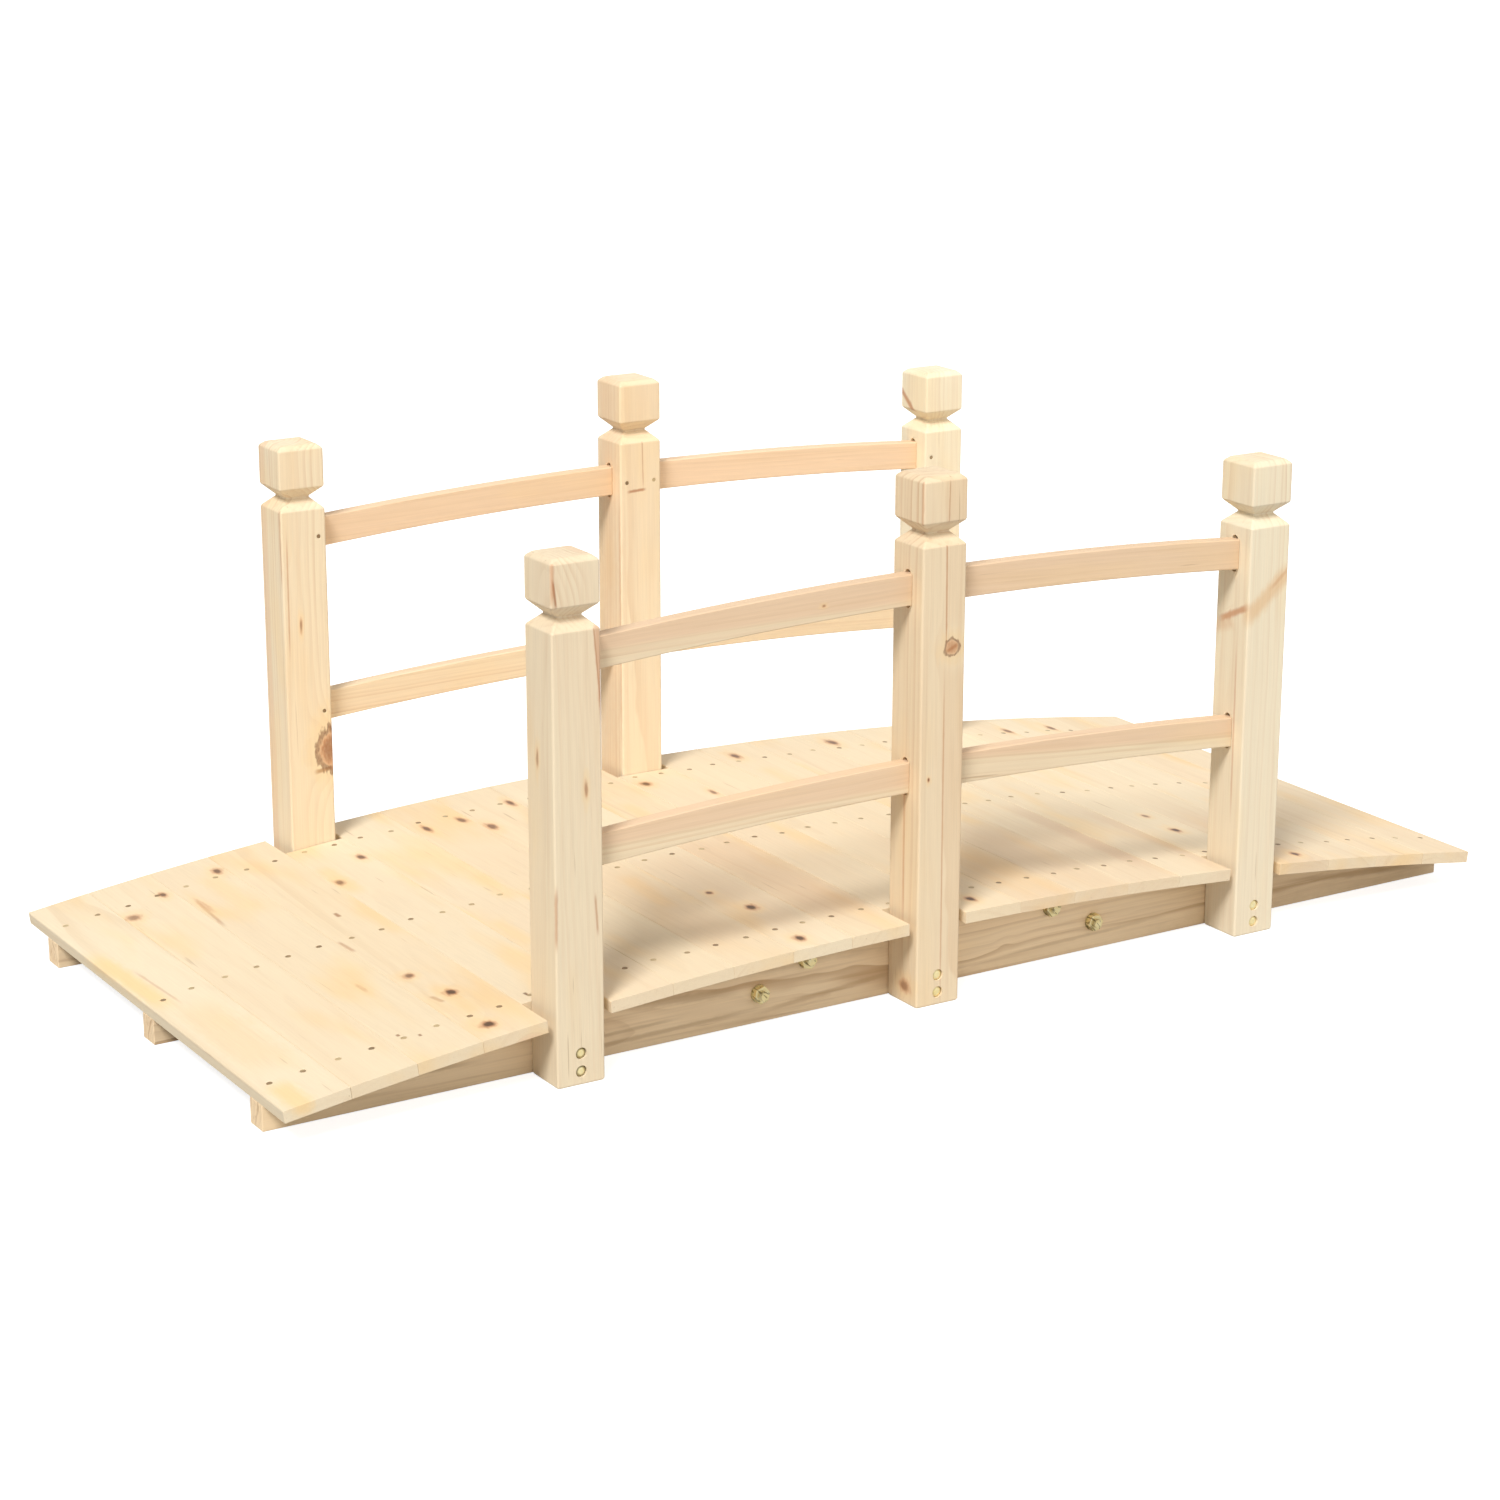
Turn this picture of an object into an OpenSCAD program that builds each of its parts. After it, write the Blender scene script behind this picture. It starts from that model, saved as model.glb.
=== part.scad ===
// Small arched garden footbridge of pale softwood with a low railing on both sides.
// X runs along the bridge, Y across it and Z up. The origin is on the ground under the middle.

/* [Arch] */
// Length over the end boards of the deck
span_length = 1500; // [1300:10:1700]
// Rise of the stringers from their ends to the crest
arch_rise = 56; // [44:1:64]
// Height of the stringers at the crest
crest_height = 83; // [80:1:100]
// Thickness of a stringer
stringer_thickness = 28; // [24:1:34]
// Distance from the end of the deck back to the end of a stringer
stringer_setback = 2; // [1:0.5:12]
// Gap left where the two lengths of a stringer meet
stringer_joint_gap = 0.6; // [0.2:0.1:1.5]

/* [Deck] */
// Number of deck boards, always odd
board_count = 21; // [21]
// Thickness of a deck board
board_thickness = 13; // [9:0.5:16]
// Gap between neighbouring boards
board_gap = 0.6; // [0.2:0.1:3]
// Distance from the outer face of the posts back to the ends of the boards
board_setback = 1; // [0:0.5:6]
// Clearance between a short board and the posts at its ends
board_post_clearance = 1; // [0.5:0.5:4]

/* [Posts] */
// Width over the outer faces of the posts
bridge_width = 670; // [600:5:760]
// Side of a post
post_side = 54; // [46:1:58]
// Radius along the upright edges of a post
post_edge_radius = 2.5; // [1:0.5:5]
// Number of boards from the middle post to an end post
post_board_step = 6; // [5:1:7]
// Height of the shoulder under the neck of a middle post
middle_shoulder_height = 495; // [440:1:550]
// Height that the middle posts stand above the end posts
middle_post_rise = 31; // [10:1:34]
// Height of the grooved neck between shoulder and cap
neck_height = 25; // [18:1:32]
// Depth of the groove that makes the neck
neck_depth = 13.5; // [8:0.5:16]
// Height of the cap block over the neck
cap_height = 47.5; // [36:0.5:60]
// Width of the bevel round the top of the cap
cap_bevel_width = 6; // [2:0.5:9]
// Height of the bevel round the top of the cap
cap_bevel_height = 5; // [2:0.5:9]

/* [Rails] */
// Drop from the shoulder of a middle post to the middle of the upper rail at the crest
upper_rail_drop = 46; // [42:1:80]
// Distance between the two rails of a bay
rail_spacing = 200; // [120:1:240]
// Depth of a rail
rail_depth = 33; // [28:1:40]
// Thickness of a rail
rail_thickness = 17; // [14:0.5:22]
// Thickness of the tenon on each end of a rail
tenon_thickness = 9; // [6:0.5:11]
// Length of a tenon
tenon_length = 18; // [12:1:20]
// Clearance between a tenon and the sides and bottom of its mortise
tenon_clearance = 0.5; // [0.3:0.1:1]
// Reach of the round end of a mortise past the edge of the rail
mortise_reach = 4; // [3:0.5:6]

/* [Joining boards] */
// Length of a board that joins the two lengths of a stringer
joining_board_length = 500; // [470:5:560]
// Depth of a joining board
joining_board_depth = 50; // [46:1:52]
// Thickness of a joining board
joining_board_thickness = 22; // [16:1:28]
// Height of the middle of a joining board
joining_board_height = 46; // [45:0.5:48]
// Place of the middle of the joining boards along the bridge
joining_centre = 28; // [20:1:40]

/* [Bolts] */
// Diameter of a post bolt
post_bolt_diameter = 6; // [5:0.5:8]
// Diameter of a post bolt's head
post_bolt_head_diameter = 10; // [9:0.5:13]
// Height of a post bolt's head
post_bolt_head_height = 6; // [4:0.5:8]
// Diameter of the pocket round a post bolt's head
post_bolt_pocket_diameter = 12.5; // [12:0.5:16]
// Depth of that pocket
post_bolt_pocket_depth = 7; // [6:0.5:10]
// Height of the lower bolt in each post
lower_post_bolt_height = 14; // [10:0.5:15]
// Height of the upper bolt in each post
upper_post_bolt_height = 33; // [31:0.5:36]
// Width across the flats of a post bolt's nut
post_nut_width = 10; // [8:0.5:11]
// Height of a post bolt's nut
post_nut_height = 5; // [4:0.5:7]
// Diameter of a joining bolt
joining_bolt_diameter = 10; // [8:0.5:11]
// Width across the flats of a joining bolt's head and nut
joining_nut_width = 17; // [15:0.5:19]
// Height of a joining bolt's head and nut
joining_nut_height = 8; // [6:0.5:10]
// Distance of the outer joining bolts from the ends of the joining board
joining_bolt_inset = 34; // [20:1:40]
// Distance along the bridge from an outer to an inner joining bolt
joining_bolt_spacing = 58; // [40:1:80]
// Height of the inner joining bolts above the middle of the joining board
inner_joining_bolt_rise = 13; // [4:0.5:14]
// Drop of the outer joining bolts below the middle of the joining board
outer_joining_bolt_drop = 14; // [4:0.5:14]
// Length of bolt that shows past a nut
bolt_tip = 4; // [2:0.5:6]
// Difference between a bolt and its hole
bolt_clearance = 1; // [0.5:0.1:1.5]

/* [Hidden] */
$fn = 48;
// Sides of the large arcs, which keeps them within a twentieth of a millimetre
arc_fn = 720;
// Overrun of a cut past the faces it opens
cut = 1;

half_span = span_length / 2;
half_width = bridge_width / 2;
post_inner_y = half_width - post_side;
post_outer_y = half_width;
post_centre_y = half_width - post_side / 2;

arch_radius = (half_span * half_span + arch_rise * arch_rise) / (2 * arch_rise);
arch_centre_z = crest_height - arch_radius;
deck_end_angle = asin(half_span / (arch_radius + board_thickness));
board_angle = 2 * deck_end_angle / board_count;
board_width = 2 * arch_radius * tan(board_angle / 2) - board_gap;
middle_board = (board_count + 1) / 2;
long_board_length = bridge_width - 2 * board_setback;
short_board_length = 2 * (post_inner_y - board_post_clearance);

post_spacing = arch_radius * sin(post_board_step * board_angle);
stringer_end_x = half_span - stringer_setback;
stringer_joint_x = arch_radius * sin(board_angle / 2);
outer_stringer_y = post_inner_y - stringer_thickness / 2;

end_shoulder_height = middle_shoulder_height - middle_post_rise;
upper_rail_height = middle_shoulder_height - upper_rail_drop;
lower_rail_height = upper_rail_height - rail_spacing;
mortise_width = tenon_thickness + 2 * tenon_clearance;
mortise_depth = tenon_length + tenon_clearance;
mortise_height = rail_depth + 2 * mortise_reach;
outer_joining_bolt_offset = joining_board_length / 2 - joining_bolt_inset;
inner_joining_bolt_offset = outer_joining_bolt_offset - joining_bolt_spacing;
inner_joining_bolt_height = joining_board_height + inner_joining_bolt_rise;
outer_joining_bolt_height = joining_board_height - outer_joining_bolt_drop;

BOARDS = [for (k = [1:board_count]) board_name(k)];

function board_name(k) = str("board_", k < 10 ? "0" : "", k);
function is_short_board(k) = abs(k - middle_board) == post_board_step || k == middle_board;
// Drop of the arch below its crest at a place along the bridge
function arch_drop(x) = arch_radius - sqrt(arch_radius * arch_radius - x * x);
function shoulder_height(x) = x == 0 ? middle_shoulder_height : end_shoulder_height;

// A deck board lies flat on the stringers, turned to the slope of the arch.
module deck_board(k) {
    length = is_short_board(k) ? short_board_length : long_board_length;
    color("wheat")
        translate([0, 0, arch_centre_z])
            rotate([0, (k - middle_board) * board_angle, 0])
                translate([-board_width / 2, -length / 2, arch_radius])
                    cube([board_width, length, board_thickness]);
}

// Hole along Y through everything between two places
module cross_hole(diameter, x, z, y_from, y_to) {
    translate([x, y_from, z])
        rotate([-90, 0, 0])
            cylinder(d = diameter, h = y_to - y_from);
}

// The four holes of a joining board, which its stringer shares
module joining_holes(y_from, y_to) {
    hole = joining_bolt_diameter + bolt_clearance;
    for (side = [-1, 1]) {
        cross_hole(hole, joining_centre + side * inner_joining_bolt_offset,
                   inner_joining_bolt_height, y_from, y_to);
        cross_hole(hole, joining_centre + side * outer_joining_bolt_offset,
                   outer_joining_bolt_height, y_from, y_to);
    }
}

// The two holes of the bolts in a post
module post_holes(x, y_from, y_to) {
    for (z = [lower_post_bolt_height, upper_post_bolt_height])
        cross_hole(post_bolt_diameter + bolt_clearance, x, z, y_from, y_to);
}

// One length of a stringer, flat below and sawn to the arch above
module stringer(x_from, x_to, y_centre, posts) {
    y_low = y_centre - stringer_thickness / 2;
    y_high = y_centre + stringer_thickness / 2;
    color("burlywood")
        difference() {
            translate([0, y_high, 0])
                rotate([90, 0, 0])
                    linear_extrude(stringer_thickness)
                        intersection() {
                            translate([x_from, 0])
                                square([x_to - x_from, crest_height + cut]);
                            translate([0, arch_centre_z])
                                circle(r = arch_radius, $fn = arc_fn);
                        }
            joining_holes(y_low - cut, y_high + cut);
            for (x = posts)
                post_holes(x, y_low - cut, y_high + cut);
        }
}

module left_stringer(y_centre, posts) {
    stringer(-stringer_end_x, stringer_joint_x - stringer_joint_gap / 2, y_centre, posts);
}

module right_stringer(y_centre, posts) {
    stringer(stringer_joint_x + stringer_joint_gap / 2, stringer_end_x, y_centre, posts);
}

// Board behind a stringer that carries it across its joint
module joining_board(y_from, posts) {
    color("tan")
        difference() {
            translate([joining_centre - joining_board_length / 2, y_from,
                       joining_board_height - joining_board_depth / 2])
                cube([joining_board_length, joining_board_thickness, joining_board_depth]);
            joining_holes(y_from - cut, y_from + joining_board_thickness + cut);
            for (x = posts)
                post_holes(x, y_from - cut, y_from + joining_board_thickness + cut);
        }
}

// Square with round corners
module rounded_square(side, radius) {
    inner = side - 2 * radius;
    square([side, inner], center = true);
    square([inner, side], center = true);
    for (sx = [-1, 1], sy = [-1, 1])
        translate([sx * inner / 2, sy * inner / 2])
            circle(r = radius);
}

// Prism along each of the four sides of a post, from an outline in the upright plane of that side
module four_sides() {
    for (turn = [0:90:270])
        rotate([0, 0, turn])
            rotate([90, 0, 0])
                linear_extrude(2 * post_side, center = true)
                    children();
}

// The groove that makes the neck, deepest at its middle
module neck_groove(shoulder) {
    middle = shoulder + neck_height / 2;
    outside = post_side / 2 + cut;
    opening = (neck_depth + cut) * neck_height / 2 / neck_depth;
    four_sides()
        polygon([
            [post_side / 2 - neck_depth, middle],
            [outside, middle - opening],
            [outside, middle + opening]
        ]);
}

// The bevel round the top of the cap
module cap_bevel(top) {
    four_sides()
        polygon([
            [post_side / 2 - cap_bevel_width, top],
            [post_side / 2 + cap_bevel_width, top - 2 * cap_bevel_height],
            [post_side / 2 + cap_bevel_width, top]
        ]);
}

// Round-ended mortise that opens on one side of a post, at the height of a rail there
module mortise(post_x, side, rail_height) {
    face_x = post_x + side * post_side / 2;
    straight = mortise_height - mortise_width;
    depth = mortise_depth + cut;
    translate([side * (post_side / 2 + cut - depth / 2), 0, rail_height - arch_drop(face_x)])
        rotate([0, 90, 0]) {
            cube([straight, mortise_width, depth], center = true);
            for (end = [-1, 1])
                translate([end * straight / 2, 0, 0])
                    cylinder(d = mortise_width, h = depth, center = true);
        }
}

// A post of one piece: square shaft, grooved neck and bevelled cap, with its bolt holes and mortises.
// side is -1 on the front and 1 on the back, mortise_sides the sides that carry rails.
module post(x, side, mortise_sides) {
    shoulder = shoulder_height(x);
    top = shoulder + neck_height + cap_height;
    color("moccasin")
        translate([x, side * post_centre_y, 0])
            difference() {
                linear_extrude(top)
                    rounded_square(post_side, post_edge_radius);
                neck_groove(shoulder);
                cap_bevel(top);
                for (m = mortise_sides, height = [lower_rail_height, upper_rail_height])
                    mortise(x, m, height);
                post_holes(0, -post_side / 2 - cut, post_side / 2 + cut);
                for (z = [lower_post_bolt_height, upper_post_bolt_height])
                    translate([0, side * (post_side / 2 - post_bolt_pocket_depth), z])
                        rotate([-side * 90, 0, 0])
                            cylinder(d = post_bolt_pocket_diameter, h = post_bolt_pocket_depth + cut);
            }
}

// Part of a rail's curved strip between two places along the bridge
module rail_strip(x_from, x_to, height, thickness) {
    rotate([90, 0, 0])
        linear_extrude(thickness, center = true)
            intersection() {
                translate([x_from, 0])
                    square([x_to - x_from, upper_rail_height + rail_depth]);
                translate([0, height - arch_radius])
                    difference() {
                        circle(r = arch_radius + rail_depth / 2, $fn = arc_fn);
                        circle(r = arch_radius - rail_depth / 2, $fn = arc_fn);
                    }
            }
}

// A rail sawn to the arch, shouldered against two posts, with a tenon in each.
// end is -1 for the left bay and 1 for the right bay.
module rail(end, side, height) {
    near = post_side / 2;
    far = post_spacing - post_side / 2;
    x_from = end < 0 ? -far : near;
    x_to = end < 0 ? -near : far;
    color("navajowhite")
        translate([0, side * post_centre_y, 0]) {
            rail_strip(x_from, x_to, height, rail_thickness);
            rail_strip(x_from - tenon_length, x_to + tenon_length, height, tenon_thickness);
        }
}

// A bolt along Y: round or hexagonal head, shank, nut and bare tip. The head's seat is at the origin
// and the nut's seat lies at the grip length in +Y.
module bolt(diameter, head_diameter, head_height, head_fn, grip, nut_width, nut_height) {
    hexagon_diameter = nut_width / cos(30);
    rotate([-90, 0, 0]) {
        translate([0, 0, -head_height])
            cylinder(d = head_diameter, h = head_height, $fn = head_fn);
        cylinder(d = diameter, h = grip + nut_height + bolt_tip);
        translate([0, 0, grip])
            cylinder(d = hexagon_diameter, h = nut_height, $fn = 6);
    }
}

// The two bolts of a post, whose heads lie in pockets in its outer face
module post_bolts(x) {
    for (z = [lower_post_bolt_height, upper_post_bolt_height]) {
        meets_board = z > joining_board_height - joining_board_depth / 2 && x == 0;
        backing = stringer_thickness + (meets_board ? joining_board_thickness : 0);
        translate([x, -post_outer_y + post_bolt_pocket_depth, z])
            bolt(post_bolt_diameter, post_bolt_head_diameter, post_bolt_head_height, $fn,
                 post_side - post_bolt_pocket_depth + backing, post_nut_width, post_nut_height);
    }
}

// The four bolts of a joining board, with their heads on the board and their nuts on the stringer
module joining_bolts(nut_y) {
    grip = stringer_thickness + joining_board_thickness;
    hexagon_diameter = joining_nut_width / cos(30);
    for (s = [-1, 1], outer = [0, 1]) {
        offset_x = outer ? outer_joining_bolt_offset : inner_joining_bolt_offset;
        z = outer ? outer_joining_bolt_height : inner_joining_bolt_height;
        translate([joining_centre + s * offset_x, nut_y + grip, z])
            rotate([0, 0, 180])
                bolt(joining_bolt_diameter, hexagon_diameter, joining_nut_height, 6,
                     grip, joining_nut_width, joining_nut_height);
    }
}

module bolts() {
    color("goldenrod") {
        for (side = [0, 1])
            mirror([0, side, 0]) {
                for (x = [-post_spacing, 0, post_spacing])
                    post_bolts(x);
                joining_bolts(-post_inner_y);
            }
        joining_bolts(-stringer_thickness / 2);
    }
}

for (k = [1:board_count])
    deck_board(k);

left_stringer(-outer_stringer_y, [-post_spacing, 0]);  // stringer_front_left
right_stringer(-outer_stringer_y, [post_spacing]);  // stringer_front_right
left_stringer(0, []);  // stringer_middle_left
right_stringer(0, []);  // stringer_middle_right
left_stringer(outer_stringer_y, [-post_spacing, 0]);  // stringer_back_left
right_stringer(outer_stringer_y, [post_spacing]);  // stringer_back_right

joining_board(-post_inner_y + stringer_thickness, [0]);  // joining_board_front
joining_board(stringer_thickness / 2, []);  // joining_board_middle
joining_board(post_inner_y - stringer_thickness - joining_board_thickness, [0]);  // joining_board_back

post(-post_spacing, -1, [1]);  // post_front_left
post(0, -1, [-1, 1]);  // post_front_middle
post(post_spacing, -1, [-1]);  // post_front_right
post(-post_spacing, 1, [1]);  // post_back_left
post(0, 1, [-1, 1]);  // post_back_middle
post(post_spacing, 1, [-1]);  // post_back_right

rail(-1, -1, upper_rail_height);  // rail_front_upper_left
rail(1, -1, upper_rail_height);  // rail_front_upper_right
rail(-1, -1, lower_rail_height);  // rail_front_lower_left
rail(1, -1, lower_rail_height);  // rail_front_lower_right
rail(-1, 1, upper_rail_height);  // rail_back_upper_left
rail(1, 1, upper_rail_height);  // rail_back_upper_right
rail(-1, 1, lower_rail_height);  // rail_back_lower_left
rail(1, 1, lower_rail_height);  // rail_back_lower_right

bolts();
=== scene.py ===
import math
import random

import bmesh
import bpy
import numpy as np
from mathutils import Matrix, Vector


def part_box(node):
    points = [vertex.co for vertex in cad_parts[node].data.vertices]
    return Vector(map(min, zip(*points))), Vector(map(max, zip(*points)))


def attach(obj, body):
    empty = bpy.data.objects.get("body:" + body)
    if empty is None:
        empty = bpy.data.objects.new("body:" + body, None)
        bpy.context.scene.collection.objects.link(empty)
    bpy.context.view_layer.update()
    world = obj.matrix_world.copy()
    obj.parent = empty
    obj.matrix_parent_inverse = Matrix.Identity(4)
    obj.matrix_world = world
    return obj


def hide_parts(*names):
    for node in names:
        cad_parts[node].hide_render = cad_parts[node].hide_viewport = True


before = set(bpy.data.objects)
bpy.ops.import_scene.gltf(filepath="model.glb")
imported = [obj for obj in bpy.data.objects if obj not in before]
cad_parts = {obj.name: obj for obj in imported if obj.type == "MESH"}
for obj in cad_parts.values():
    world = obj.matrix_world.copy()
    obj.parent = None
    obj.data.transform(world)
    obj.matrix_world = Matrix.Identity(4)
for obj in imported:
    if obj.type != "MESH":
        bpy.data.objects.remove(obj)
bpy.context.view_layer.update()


# Stringers: three lines of softwood boards on edge that carry the deck. Each is flat below and
# band-sawn to the arch above, in two lengths that meet beside the middle posts. They are left as
# sawn, so they are a little darker than the planed pieces and show their grain the most.

lines = ("front", "middle", "back")
stringer_step = 0.02
stringer_edge = 0.0008
stringer_brightness = {"left": 1.25, "right": 1.32}
board_on_edge = [(0, 0, 1), (0, 1, 0), (1, 0, 0)]

stringer_low, stringer_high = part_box("stringer_front_left")
stringer_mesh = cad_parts["stringer_front_left"].data
stringer_end_top = max(v.co.z for v in stringer_mesh.vertices if v.co.x < stringer_low.x + stringer_edge)
arch_rise = stringer_high.z - stringer_end_top
arch_radius = (stringer_low.x ** 2 + arch_rise ** 2) / (2 * arch_rise)
arch_centre_z = stringer_high.z - arch_radius


def new_piece(name, data):
    """Puts an object with this mesh, lamp or camera into the scene."""
    piece = bpy.data.objects.new(name, data)
    bpy.context.scene.collection.objects.link(piece)
    return piece


def loft(name, rings):
    """A closed solid through rings of points, all listed the same way round."""
    size = len(rings[0])
    points = [p for ring in rings for p in ring]
    faces = [tuple(range(size)), tuple(range(len(points) - size, len(points)))]
    for start in range(0, len(points) - size, size):
        for j in range(size):
            k = (j + 1) % size
            faces.append((start + j, start + k, start + size + k, start + size + j))
    mesh = bpy.data.meshes.new(name)
    mesh.from_pydata(points, [], faces)
    shape = bmesh.new()
    shape.from_mesh(mesh)
    bmesh.ops.recalc_face_normals(shape, faces=shape.faces)
    shape.to_mesh(mesh)
    shape.free()
    return new_piece(name, mesh)


def cross_section(x, y_near, y_far, bottom, top):
    return [(x, y_near, bottom), (x, y_far, bottom), (x, y_far, top), (x, y_near, top)]


def arc_height(x, radius):
    """How far a circle stands above its middle at a distance along the bridge."""
    return math.sqrt(radius ** 2 - x ** 2)


def settle(piece):
    """Makes what the modifiers give the piece's own mesh, and removes them."""
    graph = bpy.context.evaluated_depsgraph_get()
    mesh = bpy.data.meshes.new_from_object(piece.evaluated_get(graph))
    piece.modifiers.clear()
    piece.data = mesh


ease_steps = 3
ease_angle = math.radians(35)


def ease_edges(piece, radius, smooth=True):
    """Rounds every sharp edge as sandpaper does, and keeps the flat faces flat."""
    for face in piece.data.polygons:
        face.use_smooth = smooth
    bevel = piece.modifiers.new("eased", "BEVEL")
    bevel.width = radius
    bevel.segments = ease_steps
    bevel.limit_method = "ANGLE"
    bevel.angle_limit = ease_angle
    bevel.harden_normals = smooth
    settle(piece)


knots_held = 3
marks_held = 6
log_spacing = 1.7
logs_cut = 0


def saw_from_log(piece, centre, axes, pith, lean, timber, figure, knots=(), marks=()):
    """Stores where each point of a piece lay in its log: its distance from the pith, and its height.
    axes are the directions across, through and along the piece. pith is where the log's heart lies
    from the piece's centre, and lean how far the grain runs off the piece. timber is the radius of
    the pink heartwood, the brightness and the warmth. figure is the scale and the contrast of the
    growth rings and the amount of resin flecks. A knot is its place on the piece, its radius, its
    stretch along the grain, the rise of its branch, the darkness of its core, which is below 0 if
    the knot is buried, and the strength of its rim. A mark is a streak, or a broad patch of painted
    shade: its two ends on the piece, its radius, its strength and its tone, from -1 for amber over 0
    for reddish to 1 for dark."""
    global logs_cut
    logs_cut += 1
    points = np.array([v.co for v in piece.data.vertices]) - np.array(centre)
    frame_axes = np.array([list(a) for a in axes])

    def in_log(place):
        across, through, along = place.T
        return np.stack([across - pith[0] + lean[0] * along, through - pith[1] + lean[1] * along,
                         along + log_spacing * logs_cut], -1)

    def store(name, values):
        held = piece.data.attributes.new(name, "FLOAT_VECTOR", "POINT")
        held.data.foreach_set("vector", np.broadcast_to(values, points.shape).astype(np.float32).ravel())

    store("grain", in_log(points @ frame_axes.T))
    store("timber", timber)
    store("figure", figure)
    cores, rims = [0.0] * knots_held, [0.0] * knots_held
    for number in range(knots_held):
        place, form = (0.1, 0.0, 0.0), (0.0, 1.0, 0.0)
        if number < len(knots):
            across, through, along, radius, stretch, rise, cores[number], rims[number] = knots[number]
            place = in_log(np.array([[across, through, along]]))[0]
            form = (radius, stretch, rise)
        store(f"knot_place_{number + 1}", place)
        store(f"knot_form_{number + 1}", form)
    store("knot_cores", cores)
    store("knot_rims", rims)
    for number in range(marks_held):
        start, end, form = (0.0, 0.0, 0.0), (0.0, 0.0, 0.0), (0.0, 0.0, 0.0)
        if number < len(marks):
            start, end, *form = marks[number]
            start, end = in_log(np.array([start, end]))
        store(f"mark_start_{number + 1}", start)
        store(f"mark_end_{number + 1}", end)
        store(f"mark_form_{number + 1}", form)


def srgb(red, green, blue):
    """A colour given in screen values of 0 to 255, as light."""
    def light(value):
        share = value / 255
        return share / 12.92 if share <= 0.04045 else ((share + 0.055) / 1.055) ** 2.4
    return (light(red), light(green), light(blue), 1.0)


def add_node(tree, kind, inputs=(), **settings):
    """Places one node, makes its settings, and sets or links its inputs by name or number."""
    made = tree.nodes.new(kind)
    for name, value in settings.items():
        setattr(made, name, value)
    for key, value in inputs.items() if isinstance(inputs, dict) else enumerate(inputs):
        if isinstance(value, bpy.types.NodeSocket):
            tree.links.new(value, made.inputs[key])
        else:
            made.inputs[key].default_value = value
    return made


def output_of(tree, kind, inputs=(), **settings):
    """Places one node and gives its first output."""
    return add_node(tree, kind, inputs, **settings).outputs[0]


def calc(tree, operation, *values):
    return output_of(tree, "ShaderNodeMath", values, operation=operation)


def times(tree, first, second):
    return calc(tree, "MULTIPLY", first, second)


def ramp(tree, value, slope, start):
    return calc(tree, "MULTIPLY_ADD", value, slope, start)


def plus(tree, first, second):
    return calc(tree, "ADD", first, second)


def minus(tree, first, second):
    return calc(tree, "SUBTRACT", first, second)


def ratio(tree, first, second):
    return calc(tree, "DIVIDE", first, second)


def larger(tree, first, second):
    return calc(tree, "MAXIMUM", first, second)


def parts(tree, vector):
    return add_node(tree, "ShaderNodeSeparateXYZ", (vector,)).outputs


def compose(tree, x, y, z):
    return output_of(tree, "ShaderNodeCombineXYZ", (x, y, z))


def vector_calc(tree, operation, *values):
    made = add_node(tree, "ShaderNodeVectorMath", values, operation=operation)
    return made.outputs["Value" if operation in ("DOT_PRODUCT", "LENGTH") else "Vector"]


def scale_vector(tree, vector, factor):
    made = add_node(tree, "ShaderNodeVectorMath", {"Vector": vector, "Scale": factor}, operation="SCALE")
    return made.outputs["Vector"]


def soft_step(tree, value, start, end):
    """Goes softly from 0 to 1 as value goes from start to end, which may be the lower one."""
    return output_of(tree, "ShaderNodeMapRange", (value, start, end), interpolation_type="SMOOTHSTEP")


def blend(tree, factor, first, second, mode="MIX"):
    made = add_node(tree, "ShaderNodeMix", {0: factor, 6: first, 7: second},
                    data_type="RGBA", blend_type=mode)
    return made.outputs[2]


def noise(tree, vector, fineness, detail=2.0):
    """Cloudy values from 0 to 1, as fine across, through and along the grain as fineness says."""
    scaled = vector_calc(tree, "MULTIPLY", vector, fineness)
    return output_of(tree, "ShaderNodeTexNoise", {"Vector": scaled, "Scale": 1.0, "Detail": detail})


def line_noise(tree, value, fineness):
    scaled = times(tree, value, fineness)
    return output_of(tree, "ShaderNodeTexNoise", {"W": scaled, "Scale": 1.0, "Detail": 1.0},
                     noise_dimensions="1D")


def stored(tree, name, output="Vector"):
    return add_node(tree, "ShaderNodeAttribute", attribute_name=name).outputs[output]


def new_group(name, inputs, outputs, tree_kind="ShaderNodeTree"):
    """An empty group of nodes, with its own sockets, and its two end nodes."""
    tree = bpy.data.node_groups.new(name, tree_kind)
    for label, kind, value in inputs:
        socket = tree.interface.new_socket(label, in_out="INPUT", socket_type=f"NodeSocket{kind}")
        if value is not None:
            socket.default_value = value
    for label, kind in outputs:
        tree.interface.new_socket(label, in_out="OUTPUT", socket_type=f"NodeSocket{kind}")
    return tree, tree.nodes.new("NodeGroupInput").outputs, tree.nodes.new("NodeGroupOutput")


def place_group(tree, group, inputs):
    return add_node(tree, "ShaderNodeGroup", inputs, node_tree=group).outputs


def from_pith(tree, place):
    return vector_calc(tree, "LENGTH", vector_calc(tree, "MULTIPLY", place, (1, 1, 0)))


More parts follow.
